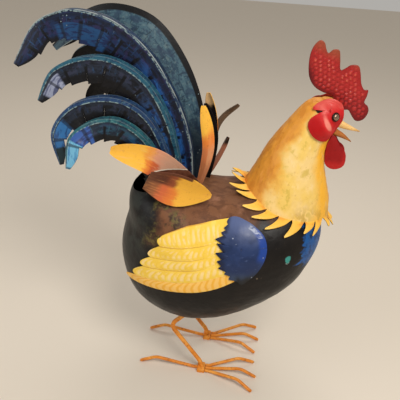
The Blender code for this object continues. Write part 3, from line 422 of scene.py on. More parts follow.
def dome_faces(rings, columns):
    """Faces of rings that close in one point after the last ring."""
    base = (rings - 1) * columns
    return grid_faces(rings, columns, wrap=True) + [
        (base + column, base + (column + 1) % columns, rings * columns) for column in range(columns)]


def disc_faces(rings, columns):
    """Faces of rings round one point, which comes before the first ring."""
    faces = [(0, 1 + column, 1 + (column + 1) % columns) for column in range(columns)]
    return faces + grid_faces(rings, columns, wrap=True, first=1)


def loop_vertices(mesh):
    """The vertex of each face corner."""
    index = np.empty(len(mesh.loops), np.int32)
    mesh.loops.foreach_get("vertex_index", index)
    return index


def build(name, points, faces, maps, paints):
    """A mesh object with its own coordinates for the paint, kept as UV maps."""
    mesh = bpy.data.meshes.new(name)
    mesh.from_pydata(np.asarray(points, float).reshape(-1, 3).tolist(), [], faces)
    index = loop_vertices(mesh)
    for key, values in maps.items():
        layer = mesh.uv_layers.new(name=key)
        layer.data.foreach_set("uv", np.asarray(values, np.float32).reshape(-1, 2)[index].ravel())
    for one in paints:
        mesh.materials.append(one)
    return set_down(name, mesh)


def set_down(name, mesh):
    """An object of the mesh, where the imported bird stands."""
    thing = bpy.data.objects.new(name, mesh)
    thing.location = SHIFT
    bpy.context.scene.collection.objects.link(thing)
    return thing


def turn_faces(thing, side=None, away=None):
    """Turn the whole sheet over if it doesn't look to that side, or away from that point."""
    total = 0.0
    for face in thing.data.polygons:
        if side is not None:
            total += face.normal.y * side * face.area
        else:
            total += face.normal.dot(face.center - Vector(away)) * face.area
    if total < 0:
        thing.data.flip_normals()


def trim(thing, knife, operation):
    edge = thing.modifiers.new("Cut", "BOOLEAN")
    edge.operation = operation
    edge.solver = "EXACT"
    edge.object = knife


def bake(thing, **options):
    """Turn the object with its modifiers into a plain mesh."""
    bpy.context.view_layer.update()
    graph = bpy.context.evaluated_depsgraph_get()
    mesh = bpy.data.meshes.new_from_object(thing.evaluated_get(graph), depsgraph=graph, **options)
    thing.modifiers.clear()
    thing.data = mesh
    return mesh


def settle(thing, node, wall=0.0, offset=0.0, back=0, rim=0, knives=(), crease=38.0):
    """Give the sheet its thickness and cuts, keep the result as a plain mesh, parent it to the root body's
    empty and hide the imported part.
    """
    if wall:
        metal = thing.modifiers.new("Wall", "SOLIDIFY")
        metal.thickness = wall
        metal.offset = offset
        metal.material_offset = back
        metal.material_offset_rim = rim
    for knife in knives:
        trim(thing, knife, "DIFFERENCE")
    mesh = bake(thing, preserve_all_data_layers=True)
    mesh.shade_smooth()
    mesh.set_sharp_from_angle(angle=math.radians(crease))
    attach(thing, "root")
    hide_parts(node)
    return thing


def tube(path, radii, segments):
    """Rings of points round a path, with the metres along it and the share round it."""
    path = np.asarray(path, float)
    tangent = unit(np.gradient(path, axis=0))
    up = np.array((0.0, 1.0, 0.0))
    first = unit(np.cross(tangent, up))
    second = np.cross(tangent, first)
    turn = circle(segments)
    radii = np.asarray(radii, float)[:, None, None]
    rings = path[:, None, :] + radii * (
        first[:, None, :] * np.cos(turn)[None, :, None]
        + second[:, None, :] * np.sin(turn)[None, :, None])
    lengths = np.r_[0, np.cumsum(np.linalg.norm(np.diff(path, axis=0), axis=1))]
    along = np.repeat(lengths[:, None], segments, 1)
    around = np.repeat((turn / (2 * np.pi))[None, :], len(path), 0)
    return rings, np.stack([along, around], -1)


ROD_END_LENGTH = 0.25
ROD_END_RADIUS = 0.72


def rod(name, path, radii, paints, segments):
    """A closed rod or horn. Its ends are rounded off over a share of the radius there."""
    path = np.asarray(path, float)
    start = unit(path[0] - path[1]) * radii[0] * ROD_END_LENGTH
    end = unit(path[-1] - path[-2]) * radii[-1] * ROD_END_LENGTH
    path = np.vstack([path[0], path[0] - start, path[1:-1], path[-1] - end, path[-1]])
    radii = np.r_[radii[0] * ROD_END_RADIUS, radii[0], radii[1:-1], radii[-1], radii[-1] * ROD_END_RADIUS]
    rings, marks = tube(path, radii, segments)
    points = rings.reshape(-1, 3)
    thing = build(name, points, drum_faces(len(path), segments), {"uv": marks}, paints)
    turn_faces(thing, away=path.mean(0))
    return thing


# Paint
def tint(red, green, blue):
    """A colour given from 0 to 255 as on a screen, made linear."""
    values = np.array((red, green, blue)) / 255.0
    return tuple(np.where(values <= 0.04045, values / 12.92, ((values + 0.055) / 1.055) ** 2.4))


def shade(colour, share):
    """The colour made darker or lighter, up to white."""
    return tuple(min(c * share, 1.0) for c in colour)


SPECULAR = 0.18


class Paint:
    """A procedural paint, put together from small steps."""

    def __init__(self, name):
        self.material = bpy.data.materials.new(name)
        self.material.use_nodes = True
        self.tree = self.material.node_tree
        self.shader = self.tree.nodes["Principled BSDF"]
        self.place = self.tree.nodes.new("ShaderNodeTexCoord").outputs["Object"]

    def put(self, socket, value):
        if isinstance(value, bpy.types.NodeSocket):
            self.tree.links.new(value, socket)
        elif isinstance(value, tuple) and len(socket.default_value) == 4:
            socket.default_value = (*value, 1.0)
        elif value is not None:
            socket.default_value = value

    def node(self, kind, *values, **settings):
        node = self.tree.nodes.new("ShaderNode" + kind)
        for key, value in settings.items():
            setattr(node, key, value)
        for socket, value in zip(node.inputs, values):
            self.put(socket, value)
        return node

    def math(self, operation, a, b=0.0):
        return self.node("Math", a, b, operation=operation).outputs[0]

    def add(self, a, b):
        return self.math("ADD", a, b)

    def times(self, a, b):
        return self.math("MULTIPLY", a, b)

    def both(self, *values):
        result = values[0]
        for value in values[1:]:
            result = self.times(result, value)
        return result

    def ramp(self, value, start, end, low=0.0, high=1.0):
        return self.node(
            "MapRange", value, start, end, low, high, interpolation_type="SMOOTHSTEP").outputs[0]

    def band(self, value, middle, half, soft):
        """One near the middle value, falling to zero past half either side."""
        off = self.math("ABSOLUTE", self.add(value, -middle))
        return self.ramp(off, half + soft, half)

    def noise(self, vector, scale, detail=3.0, rough=0.55, twist=0.0):
        node = self.node("TexNoise")
        for key, value in (("Vector", vector), ("Scale", scale), ("Detail", detail),
                           ("Roughness", rough), ("Distortion", twist)):
            self.put(node.inputs[key], value)
        return node.outputs["Fac"]

    def grain(self, *settings):
        """Noise laid over the bird itself."""
        return self.noise(self.place, *settings)

    def swing(self, noise, amount):
        """The noise as a wander to either side of zero."""
        return self.times(self.add(noise, -0.5), amount)

    def voronoi(self, vector, scale):
        node = self.node("TexVoronoi")
        self.put(node.inputs["Vector"], vector)
        self.put(node.inputs["Scale"], scale)
        return node.outputs["Distance"]

    def stretch(self, vector, x, y, z):
        return self.node("VectorMath", vector, (x, y, z), operation="MULTIPLY").outputs[0]

    def distance(self, vector, x, y, z):
        return self.node("VectorMath", vector, (x, y, z), operation="DISTANCE").outputs["Value"]

    def split(self, vector):
        return self.node("SeparateXYZ", vector).outputs[:3]

    def join(self, x, y, z=0.0):
        return self.node("CombineXYZ", x, y, z).outputs[0]

    def map(self, name):
        return self.node("UVMap", uv_map=name).outputs[0]

    def mix(self, share, a, b):
        return self.node("MixRGB", share, a, b).outputs[0]

    def layer(self, colour, *steps):
        """Lay colours over one another: each step is its shares, which multiply, and its colour."""
        for *shares, over in steps:
            colour = self.mix(self.both(*shares), colour, over)
        return colour

    def bump(self, height, distance, strength):
        node = self.node("Bump")
        self.put(node.inputs["Strength"], strength)
        self.put(node.inputs["Distance"], distance)
        self.put(node.inputs["Height"], height)
        return node.outputs[0]

    def finish(self, colour, rough, normal=None, coat=0.0, coat_rough=0.1, metallic=0.0):
        self.put(self.shader.inputs["Base Color"], colour)
        self.put(self.shader.inputs["Roughness"], rough)
        self.put(self.shader.inputs["Metallic"], metallic)
        self.shader.inputs["Coat Weight"].default_value = coat
        self.shader.inputs["Coat Roughness"].default_value = coat_rough
        self.shader.inputs["Specular IOR Level"].default_value = SPECULAR
        if normal is not None:
            self.put(self.shader.inputs["Normal"], normal)
        return self.material


def brushed(p):
    """Fine unevenness of hand brushed paint on hammered sheet, as a height."""
    fine = p.grain(240.0, 3.0)
    broad = p.grain(55.0, 2.0)
    return p.add(p.times(fine, 0.35), broad)


def painted(p, colour, fine, rough, depth, coat=0.0, coat_rough=0.1, strength=0.5):
    """Brushed paint whose roughness wanders between the two given."""
    normal = p.bump(brushed(p), depth, strength)
    return p.finish(colour, p.ramp(fine, 0.3, 0.7, *rough), normal, coat, coat_rough)


def speckle(p, scale, amount):
    """Small scattered chips, one inside a chip."""
    near = p.voronoi(p.place, scale)
    pick = p.grain(scale * 0.31, 2.0)
    return p.both(p.ramp(near, 0.20, 0.10), p.ramp(pick, 1.0 - amount, 1.0 - amount + 0.05))


CHEST_MARK = (0.196, 0.131, 0.4410)


def body_paint():
    p = Paint("body_paint_outer")
    x, y, z = p.split(p.place)
    side = p.math("ABSOLUTE", y)
    broad = p.grain(9.0, 4.0)
    middle = p.grain(26.0, 4.0, 0.6)
    fine = p.grain(90.0, 4.0, 0.65)
    streaks = p.noise(p.stretch(p.place, 22.0, 34.0, 9.0), 1.4, 4.0, 0.6, 0.6)
    wander = p.add(p.swing(broad, 0.08), p.swing(middle, 0.06))
    height = p.add(z, wander)
    edge = p.add(0.452, p.times(p.ramp(x, 0.02, 0.14), 0.075))
    above = p.ramp(p.math("SUBTRACT", height, edge), -0.020, 0.012)
    rear = p.ramp(p.add(x, wander), -0.150, -0.120)
    front = p.ramp(p.add(x, p.times(wander, 0.6)), 0.185, 0.150)
    saddle = p.both(above, rear, front)
    black = p.layer(
        tint(20, 17, 16),
        (p.ramp(broad, 0.42, 0.62), tint(27, 23, 21)),
        (p.ramp(x, -0.10, -0.20), p.ramp(z, 0.30, 0.46), p.ramp(middle, 0.40, 0.62), 0.7,
         tint(54, 58, 54)),
        (p.ramp(fine, 0.60, 0.72), 0.30, tint(60, 50, 42)),
    )
    brown = p.layer(
        tint(118, 78, 52),
        (p.ramp(streaks, 0.46, 0.60), 0.65, tint(90, 56, 38)),
        (p.ramp(middle, 0.48, 0.66), p.ramp(streaks, 0.60, 0.40), 0.8, tint(146, 102, 78)),
        (p.ramp(fine, 0.58, 0.70), 0.5, tint(62, 39, 27)),
        (p.ramp(x, 0.04, 0.13, 0.0, 0.6), tint(78, 50, 36)),
        # paler brown over the top of the saddle: painted highlight
        (p.ramp(z, 0.55, 0.59), 0.35, tint(140, 92, 62)),
    )
    olive_zone = p.both(
        p.band(p.add(x, wander), -0.106, 0.026, 0.026), p.ramp(height, 0.43, 0.47),
        p.ramp(height, 0.575, 0.54), p.ramp(middle, 0.40, 0.52))
    olive = p.mix(p.ramp(fine, 0.45, 0.56), tint(40, 33, 22), tint(92, 86, 42))
    jag = p.add(p.swing(p.noise(p.stretch(p.place, 18.0, 30.0, 70.0), 1.0, 2.0), 0.060), x)
    chest = p.both(p.ramp(jag, 0.226, 0.234), p.ramp(z, 0.395, 0.415))
    blue = p.layer(tint(26, 84, 150), (p.ramp(fine, 0.45, 0.62), tint(22, 58, 108)),
                   (p.ramp(middle, 0.56, 0.66), tint(50, 118, 168)))
    mirrored = p.join(x, side, z)
    spot = p.distance(p.stretch(mirrored, 1.0, 1.0, 0.72), CHEST_MARK[0], CHEST_MARK[1],
                      CHEST_MARK[2] * 0.72)
    spot = p.add(spot, p.swing(fine, 0.009))
    colour = p.layer(
        black,
        (saddle, brown),
        (p.times(olive_zone, 0.8), olive),
        (chest, blue),
        (p.ramp(spot, 0.0085, 0.0060), tint(58, 140, 132)),
        (p.band(spot, 0.0076, 0.0008, 0.0010), p.ramp(middle, 0.50, 0.58), tint(196, 214, 206)),
        (speckle(p, 70.0, 0.34), tint(112, 98, 82)),
    )
    rough = p.add(p.ramp(middle, 0.35, 0.65, 0.36, 0.48), p.times(saddle, 0.12))
    height = p.add(p.times(streaks, 0.6), brushed(p))
    return p.finish(colour, rough, p.bump(height, 0.0016, 0.55), 0.04, 0.3)


def dark_metal(name, colour, rough=0.6):
    p = Paint(name)
    fine = p.grain(120.0, 4.0)
    broad = p.grain(18.0, 3.0)
    tone = p.mix(p.ramp(broad, 0.35, 0.65), shade(colour, 0.55), colour)
    tone = p.mix(p.ramp(fine, 0.55, 0.75, 0.0, 0.6), tone, shade(colour, 1.6))
    return painted(p, tone, fine, (rough - 0.08, rough + 0.08), 0.0010)


# where the painted shadow under the face plate's notch falls on the neck
FACE_NOTCH = (0.2255, 0.0, 0.7895)


def neck_paint():
    p = Paint("hackle_paint")
    turn, height, _ = p.split(p.map("mark"))
    x, _, z = p.split(p.place)
    broad = p.grain(16.0, 3.0)
    middle = p.noise(p.stretch(p.place, 1.0, 1.0, 0.6), 48.0, 4.0, 0.6)
    fine = p.grain(150.0, 4.0, 0.6)
    place = p.add(turn, p.swing(broad, 0.26))
    nape = p.ramp(place, 0.44, 0.22)
    throat = p.ramp(place, 0.66, 0.84)
    cheek = p.both(p.band(place, 0.54, 0.11, 0.14), p.ramp(height, -0.10, 0.06), p.ramp(height, 0.90, 0.66))
    colour = p.layer(
        tint(240, 186, 78),
        (nape, tint(218, 146, 52)),
        (nape, p.ramp(middle, 0.46, 0.60), 0.6, tint(194, 118, 38)),
        (throat, tint(246, 182, 52)),
        # down each side of the neck the pale cream is painted highlight, the greenish patches in it are
        # paint, and the pale spots forward of the nape are painted highlight too
        (cheek, 0.85, tint(232, 198, 108)),
        (cheek, p.ramp(broad, 0.40, 0.58), 0.75, tint(238, 206, 142)),
        (cheek, p.ramp(middle, 0.46, 0.36), 0.7, tint(202, 172, 74)),
        (p.ramp(middle, 0.56, 0.70), p.ramp(place, 0.30, 0.42), 0.40, tint(246, 218, 172)),
        (p.ramp(height, 0.14, 0.02), p.ramp(turn, 0.50, 0.62), p.ramp(middle, 0.48, 0.56), 0.6,
         tint(176, 140, 52)),
        (p.ramp(fine, 0.60, 0.70), 0.30, tint(176, 118, 48)),
        (p.ramp(turn, 0.92, 0.985, 0.0, 0.6), tint(222, 138, 44)),
    )
    claws = p.layer(
        tint(244, 188, 74),
        # darker orange toward the claws' roots: painted shade, and paler toward their tips
        (p.ramp(height, -0.45, -0.05), p.ramp(middle, 0.40, 0.62), tint(230, 152, 56)),
        (p.ramp(height, -0.55, -1.0), 0.6, tint(248, 208, 112)),
        (p.ramp(fine, 0.58, 0.70), 0.4, tint(200, 130, 52)),
    )
    colour = p.mix(p.ramp(height, 0.02, -0.10), colour, claws)
    # a dark spot on the neck under the face plate's notch: painted shadow
    notch_shadow = p.distance(p.join(x, 0.0, z), *FACE_NOTCH)
    colour = p.mix(p.ramp(notch_shadow, 0.0105, 0.0070), colour, tint(40, 22, 16))
    rough = p.ramp(middle, 0.35, 0.65, 0.40, 0.54)
    return p.finish(colour, rough, p.bump(brushed(p), 0.0014, 0.5), 0.12, 0.28)


def red_paint(name, deep, bright, painted_highlight, rough, coat, lobes=None):
    """Red paint with painted light and shade. The mark map says how lit it is: deep up to 0.1, bright by
    0.55, a painted highlight past 0.62.
    """
    p = Paint(name)
    lit, edge, _ = p.split(p.map("mark"))
    broad = p.grain(22.0, 3.0)
    fine = p.grain(130.0, 4.0)
    lit = p.add(lit, p.swing(broad, 0.30))
    colour = p.layer(
        deep,
        (p.ramp(lit, 0.10, 0.55), bright),
        (p.ramp(lit, 0.62, 0.98), painted_highlight),
        (p.ramp(fine, 0.56, 0.72, 0.0, 0.35), shade(deep, 0.55)),
        (p.ramp(edge, 0.5, 1.0, 0.0, 0.65), shade(deep, 0.5)),
    )
    if lobes is not None:
        x, _, z = p.split(p.place)
        tall = p.add(p.add(z, p.times(x, 0.35)), p.swing(broad, 0.03))
        colour = p.mix(p.ramp(tall, 0.974, 1.004, 0.0, 0.7), colour, lobes)
    return painted(p, colour, fine, (rough - 0.05, rough + 0.08), 0.0009, coat, 0.12, 0.45)


def wing_paint():
    p = Paint("wing_paint")
    along, _, _ = p.split(p.map("uv"))
    band, within, _ = p.split(p.map("mark"))
    fine = p.grain(140.0, 4.0)
    middle = p.grain(42.0, 3.0)
    shift = p.times(band, DAB_SHIFT)
    cell = p.math("FRACT", p.add(p.add(p.times(along, DABS_PER_METRE), shift), p.swing(middle, 0.6)))
    dab = p.both(p.band(cell, 0.5, 0.18, 0.18), p.band(within, 0.50, 0.20, 0.18))
    groove = p.ramp(p.math("MINIMUM", within, p.math("SUBTRACT", 1.0, within)), 0.07, 0.02)
    grooves = p.both(groove, p.ramp(along, 0.07, 0.12))
    lip = p.ramp(band, 3.4, 3.6)
    scallop = p.math("FRACT", p.add(p.times(along, 40.0), p.times(within, 0.8)))
    top = p.both(p.ramp(band, 0.6, 0.4), p.band(scallop, 0.5, 0.10, 0.12), p.ramp(middle, 0.38, 0.50))
    colour = p.layer(
        tint(241, 200, 76),
        (p.ramp(middle, 0.45, 0.62), tint(244, 208, 96)),
        # pale dabs in rows over the hammer dents are painted highlight, with deeper yellow between them
        (dab, p.ramp(middle, 0.36, 0.50), 0.62, tint(246, 216, 162)),
        (p.band(cell, 0.0, 0.10, 0.12), p.band(within, 0.5, 0.3, 0.1), 0.5, tint(238, 194, 56)),
        (top, 0.6, tint(240, 200, 70)),
        # darker orange along the creases between the bands: painted shade
        (grooves, 0.75, tint(196, 136, 46)),
        (lip, 0.80, tint(236, 168, 58)),
        # paler dabs on the bottom band: painted highlight
        (lip, p.band(cell, 0.5, 0.22, 0.2), 0.7, tint(246, 200, 112)),
        (p.ramp(fine, 0.60, 0.72), 0.3, tint(206, 156, 66)),
    )
    return painted(p, colour, fine, (0.44, 0.56), 0.0012, 0.10, 0.3)


def shoulder_paint():
    p = Paint("shoulder_paint")
    x, _, z = p.split(p.place)
    rim, turn, _ = p.split(p.map("mark"))
    broad = p.grain(20.0, 3.0)
    fine = p.grain(150.0, 4.0)
    scratch = p.noise(p.stretch(p.place, 60.0, 40.0, 190.0), 1.0, 3.0)
    wander = p.swing(broad, 0.04)
    top = p.ramp(p.add(z, wander), 0.474, 0.522)
    low = p.ramp(p.add(z, wander), 0.418, 0.392)
    right = p.both(p.band(turn, 0.0, 0.12, 0.06), p.ramp(p.add(rim, p.times(wander, 3.0)), 0.62, 0.80))
    right = p.add(right, p.both(p.band(turn, 1.0, 0.06, 0.06), p.ramp(rim, 0.62, 0.80)))
    streak = p.both(p.band(rim, 0.84, 0.05, 0.08), p.band(turn, 0.135, 0.05, 0.035))
    claws = p.both(p.ramp(rim, 0.70, 0.92), p.ramp(x, 0.056, 0.042))
    colour = p.layer(
        tint(29, 45, 82),
        (p.ramp(broad, 0.46, 0.62), tint(36, 54, 96)),
        # lighter grey blue over the top of the plate: painted highlight
        (top, 0.78, tint(90, 104, 146)),
        (right, 0.9, tint(30, 66, 148)),
        (low, 0.75, tint(52, 68, 92)),
        (low, p.ramp(rim, 0.70, 0.95), p.ramp(x, 0.070, 0.085), tint(26, 28, 32)),
        (streak, p.ramp(scratch, 0.40, 0.55), 0.85, tint(168, 176, 196)),
        (claws, 0.8, tint(18, 24, 50)),
        (p.ramp(scratch, 0.64, 0.70), 0.3, tint(96, 112, 156)),
        (speckle(p, 95.0, 0.40), tint(160, 170, 190)),
    )
    return painted(p, colour, fine, (0.36, 0.48), 0.0012, 0.2, 0.22)


def sickle_paint(kind, slits, look):
    """Brushwork of a tail feather: share runs along it, reach from its ridge to its saw edge."""
    p = Paint("sickle_paint_" + kind)
    along, metres, _ = p.split(p.map("uv"))
    share, across, _ = p.split(p.map("mark"))
    flow = p.join(p.times(along, 30.0), p.times(metres, 120.0), p.times(share, 3.0))
    strokes = p.noise(flow, 1.0, 4.0, 0.6, 0.4)
    cross = p.noise(p.join(p.times(along, 130.0), p.times(metres, 34.0), 2.0), 1.0, 3.0, 0.6, 0.3)
    patch = p.noise(p.join(p.times(along, 42.0), p.times(metres, 60.0), 7.0), 1.0, 3.0, 0.55)
    fine = p.grain(170.0, 4.0, 0.6)
    reach = p.add(across, p.swing(patch, 0.16))
    tooth = p.math("FRACT", p.add(p.times(share, float(slits)), p.swing(cross, 0.14)))
    line = p.ramp(p.math("ABSOLUTE", p.add(tooth, -0.5)), 0.385, 0.45)
    slit = p.both(line, p.ramp(reach, 0.26, 0.40))
    first, full, fading, last = look["window"]
    block = p.both(p.ramp(share, first, full), p.ramp(share, last, fading), p.ramp(reach, 0.26, 0.33),
                   p.ramp(reach, 0.86, 0.72), p.ramp(cross, 0.34, 0.44))
    face = p.layer(
        look["base"],
        (p.ramp(strokes, 0.44, 0.58), look["dark"]),
        (p.ramp(patch, 0.50, 0.62), 0.8, look["blotch"]),
        (p.ramp(cross, 0.56, 0.66), p.ramp(strokes, 0.40, 0.52), 0.6, look["glint"]),
        # a near black band just below the ridge: painted shade
        (p.ramp(across, 0.30, 0.16), p.ramp(across, 0.10, 0.13), 0.65, tint(14, 18, 30)),
        (block, p.mix(p.ramp(strokes, 0.42, 0.62), look["block"], look["block_dark"])),
        (p.ramp(reach, look["saw_from"], look["saw_from"] + 0.16), 0.95, tint(13, 12, 14)),
        # black lines along the slits, wider than the cuts: black paint and painted shade of the cuts
        (slit, 0.95, tint(8, 8, 11)),
    )
    # blocks of colour on facets of the bent sheet near the tip: the lighter ones are painted highlight, the
    # dark one painted shade
    for start, end, inner, colour, streaked in look["facets"]:
        zone = p.both(p.ramp(share, start, start + 0.012), p.ramp(share, end + 0.012, end),
                      p.ramp(across, inner - 0.02, inner + 0.02))
        face = p.mix(zone, face, p.layer(
            colour, (p.ramp(strokes, 0.46, 0.60), streaked), (line, 0.7, tint(18, 22, 34))))
    rim = p.math("ABSOLUTE", across)
    border = p.layer(
        look["border"],
        (p.ramp(strokes, 0.47, 0.60), look["border_dark"]),
        (p.ramp(cross, 0.54, 0.64), 0.6, tint(18, 30, 48)),
        (p.ramp(fine, 0.55, 0.68), 0.45, look["border_light"]),
    )
    if kind == "crown":
        band = p.layer(
            border,
            (p.ramp(patch, 0.50, 0.62), 0.75, tint(40, 58, 80)),
            (p.ramp(patch, 0.44, 0.34), 0.6, tint(96, 118, 124)),
            (p.ramp(share, 0.36, 0.14, 0.0, 0.85), tint(24, 40, 58)),
            (p.ramp(p.add(rim, p.swing(patch, 0.03)), 0.24, 0.19), tint(13, 13, 16)),
            # a pale line at the shelf's outer edge: painted highlight of the lit edge
            (p.ramp(rim, 0.93, 0.97), p.ramp(strokes, 0.34, 0.48), tint(176, 186, 182)),
        )
        colour = p.mix(p.ramp(across, -0.004, 0.004), band, face)
    else:
        edge = p.add(across, p.swing(patch, 0.03))
        # pale lines at the edge of the border, toward the shelf's outer edge and along the ridge: painted
        # highlight of lit edges and the fold, broken by the strokes
        streaked = p.both(p.band(edge, look["border_width"], 0.012, 0.016), p.ramp(strokes, 0.36, 0.50))
        colour = p.layer(
            p.mix(p.ramp(edge, look["border_width"] - 0.012, look["border_width"] + 0.012), border, face),
            (streaked, p.ramp(fine, 0.40, 0.56), 0.75, tint(140, 162, 162)),
            (p.ramp(rim, 0.80, 0.92), p.ramp(across, 0.0, -0.01), p.ramp(strokes, 0.44, 0.56), 0.35,
             tint(130, 150, 152)),
            (p.band(metres, 0.0, look["ridge"], 0.0007), p.ramp(strokes, 0.36, 0.50),
                    0.8 if kind == "top" else 0.2, tint(158, 168, 168)),
        )
    colour = p.layer(colour, (speckle(p, 110.0, 0.40), tint(130, 148, 154)))
    height = p.add(p.times(strokes, 0.5), brushed(p))
    return p.finish(colour, p.ramp(fine, 0.3, 0.7, 0.36, 0.52), p.bump(height, 0.0012, 0.5), 0.12, 0.25)


# where the painted curl's line crosses the leaf
CURL_AT = 0.445
CURL_SLANT = 0.135


def leaf_paint(name, lower, upper, streak, edge, extras=(), painted_curl=False):
    """Brushwork of a cover feather: colours at shares of its length for either side of the fold."""
    p = Paint(name)
    along, metres, _ = p.split(p.map("uv"))
    share, across, _ = p.split(p.map("mark"))
    strokes = p.noise(p.join(p.times(along, 22.0), p.times(metres, 150.0), 1.0), 1.0, 4.0, 0.6, 0.3)
    patch = p.grain(34.0, 3.0)
    fine = p.grain(160.0, 4.0)
    place = p.add(share, p.add(p.swing(strokes, 0.16), p.swing(patch, 0.12)))

    def run(stops):
        """The first stop's colour, then each next one laid over it up to its share."""
        return p.layer(stops[0][1], *((p.ramp(place, start, end), over)
                                      for (start, _), (end, over) in zip(stops, stops[1:])))

    side = p.ramp(p.add(across, p.swing(patch, 0.25)), -0.10, 0.10)
    colour = p.layer(
        p.mix(side, run(lower), run(upper)),
        (p.ramp(strokes, 0.54, 0.68), 0.30, streak),
        (p.ramp(fine, 0.58, 0.70), 0.30, edge),
    )
    for start, end, low, high, over in extras:
        zone = p.both(p.ramp(share, start, start + 0.03), p.ramp(share, end + 0.03, end),
                      p.ramp(across, low, low + 0.05), p.ramp(across, high + 0.05, high))
        colour = p.mix(zone, colour, over)
    # a painted curl, though the sheet is not curled: brown on the root side of a line across the leaf,
    # painted shade of an inner face, and a pale line along it, painted highlight of a lit sheet edge
    if painted_curl:
        curl = p.add(share, p.add(p.times(across, CURL_SLANT), -CURL_AT))
        brown = p.mix(p.ramp(patch, 0.40, 0.62), tint(88, 48, 34), tint(124, 76, 56))
        colour = p.layer(colour, (p.ramp(curl, 0.0, -0.006), brown),
                         (p.band(curl, 0.0, 0.005, 0.004), p.ramp(across, -0.75, -0.60),
                          tint(236, 224, 204)))
    return painted(p, colour, fine, (0.40, 0.54), 0.0012, 0.06, 0.3)


def leg_paint():
    p = Paint("leg_paint_orange")
    fine = p.grain(150.0, 4.0)
    broad = p.grain(30.0, 3.0)
    colour = p.layer(
        tint(224, 136, 46),
        (p.ramp(broad, 0.46, 0.64), tint(236, 160, 70)),
        (p.ramp(broad, 0.44, 0.30, 0.0, 0.7), tint(188, 102, 34)),
        (p.ramp(fine, 0.54, 0.70, 0.0, 0.7), tint(140, 76, 36)),
        (speckle(p, 190.0, 0.42), tint(86, 56, 36)),
    )
    return painted(p, colour, fine, (0.38, 0.56), 0.0010, 0.1, 0.3)


def horn_paint(name, base, warm, dark):
    p = Paint(name)
    along, _, _ = p.split(p.map("uv"))
    fine = p.grain(170.0, 4.0)
    streaks = p.noise(p.stretch(p.place, 40.0, 200.0, 120.0), 1.0, 3.0)
    colour = p.layer(
        base,
        (p.ramp(streaks, 0.48, 0.64, 0.0, 0.7), warm),
        (p.ramp(along, 0.060, 0.075, 0.0, 0.5), dark),
        (p.ramp(fine, 0.56, 0.72, 0.0, 0.4), dark),
    )
    return painted(p, colour, fine, (0.34, 0.50), 0.0008, 0.15, 0.2)


def brass_paint():
    p = Paint("eye_metal")
    _, ring, _ = p.split(p.map("mark"))
    fine = p.grain(260.0, 3.0)
    colour = p.layer(
        tint(150, 124, 104),
        (p.ramp(fine, 0.45, 0.65, 0.0, 0.7), tint(98, 72, 56)),
        (p.ramp(ring, 0.62, 0.80), tint(40, 20, 14)),
    )
    return p.finish(colour, p.ramp(fine, 0.3, 0.7, 0.18, 0.32), p.bump(fine, 0.0004, 0.4), 0.3, 0.1, 0.65)


# Body
BODY_DENT_LENGTH = 0.030
BODY_DENT_HEIGHT = 0.024
# moves the dents of the two sides opposite ways, so that they differ
BODY_DENT_SHIFT = 3.1
# dents go inward, and lumps stand out no further than this
BODY_SWELL = 0.0002


def dent_bowl(far, reach):
    """Depth of a hammer dent from 1 in its middle to 0 at its reach."""
    return 1.0 - np.minimum(far, reach) ** 2 / reach ** 2


def body_surface(columns, rows, grow=0.0, lumps=0.0):
    """Points of the lens of the body and its faces, with a pole in each flank."""
    angle = np.linspace(0, 360, columns, endpoint=False)
    tilt = np.linspace(-np.pi / 2, np.pi / 2, rows + 1)
    a, t = np.meshgrid(angle, tilt)
    points = body_points(a, t, grow)
    if lumps:
        x, y, z = points[..., 0], points[..., 1], points[..., 2]
        dent, own = cells(x / BODY_DENT_LENGTH + BODY_DENT_SHIFT * np.sign(y),
                          z / BODY_DENT_HEIGHT + np.abs(y) / BODY_DENT_LENGTH, 3)
        push = -lumps * dent_bowl(dent, 0.75) * (0.35 + 0.65 * own)
        push += lumps * 0.8 * ripple(x / 0.06 + y / 0.05, z / 0.05, 5)
        points = points + unit(points - BODY_CENTRE) * np.minimum(push, BODY_SWELL)[..., None]
        points[0], points[-1] = points[0].mean(0), points[-1].mean(0)
    inner = points[1:-1].reshape(-1, 3)
    vertices = np.vstack([points[0, :1], inner, points[-1, :1]])
    faces = grid_faces(rows - 1, columns, wrap=True, first=1)
    last = len(vertices) - 1
    base = last - columns
    for column in range(columns):
        after = (column + 1) % columns
        faces.append((0, 1 + after, 1 + column))
        faces.append((last, base + column, base + after))
    return vertices, faces


def helper(name, points, faces):
    """A solid that only trims others."""
    thing = build(name, points, faces, {}, [])
    turn_faces(thing, away=np.asarray(points).mean(0))
    return thing


def prism(name, outline, low, high):
    """An upright solid over a closed outline of x, y points."""
    points = [(x, y, low) for x, y in outline] + [(x, y, high) for x, y in outline]
    return helper(name, points, drum_faces(2, len(outline)))


# the leg turns upright over the pad at this share of the ankle's rise
ANKLE_TURN = 0.4
# points from the hip to the start of the knee's bend
LEG_HIP_STEP = 5


def leg_line(side):
    """Centre line of a leg rod: out of the belly, round the knee and down on to the foot."""
    y = side * FOOT_SPACING / 2
    hip = np.array((HIP[0], y, HIP[1]))
    knee = np.array((KNEE[0], y, KNEE[1]))
    ankle = np.array((0.0, y, PAD_HEIGHT + ANKLE_RISE))
    to_hip, to_ankle = unit(hip - knee), unit(ankle - knee)
    start, finish = knee + to_hip * KNEE_BEND, knee + to_ankle * KNEE_BEND
    above = ankle - to_ankle * ANKLE_RISE
    near = np.array((0.0, y, PAD_HEIGHT + ANKLE_RISE * ANKLE_TURN))
    sole = np.array((0.0, y, PAD_HEIGHT + GAP))
    return np.vstack([
        between(hip, start, LEG_HIP_STEP + 1)[:-1],
        rounded(start, knee, finish, 16),
        between(finish, above, 16)[1:-1],
        rounded(above, 2 * near - (above + sole) / 2, sole, 8),
    ])


BODY_DENT = 0.0009
# heights between which the opening's knife runs through the shell
OPENING_BOTTOM = 0.42
OPENING_TOP = 0.70
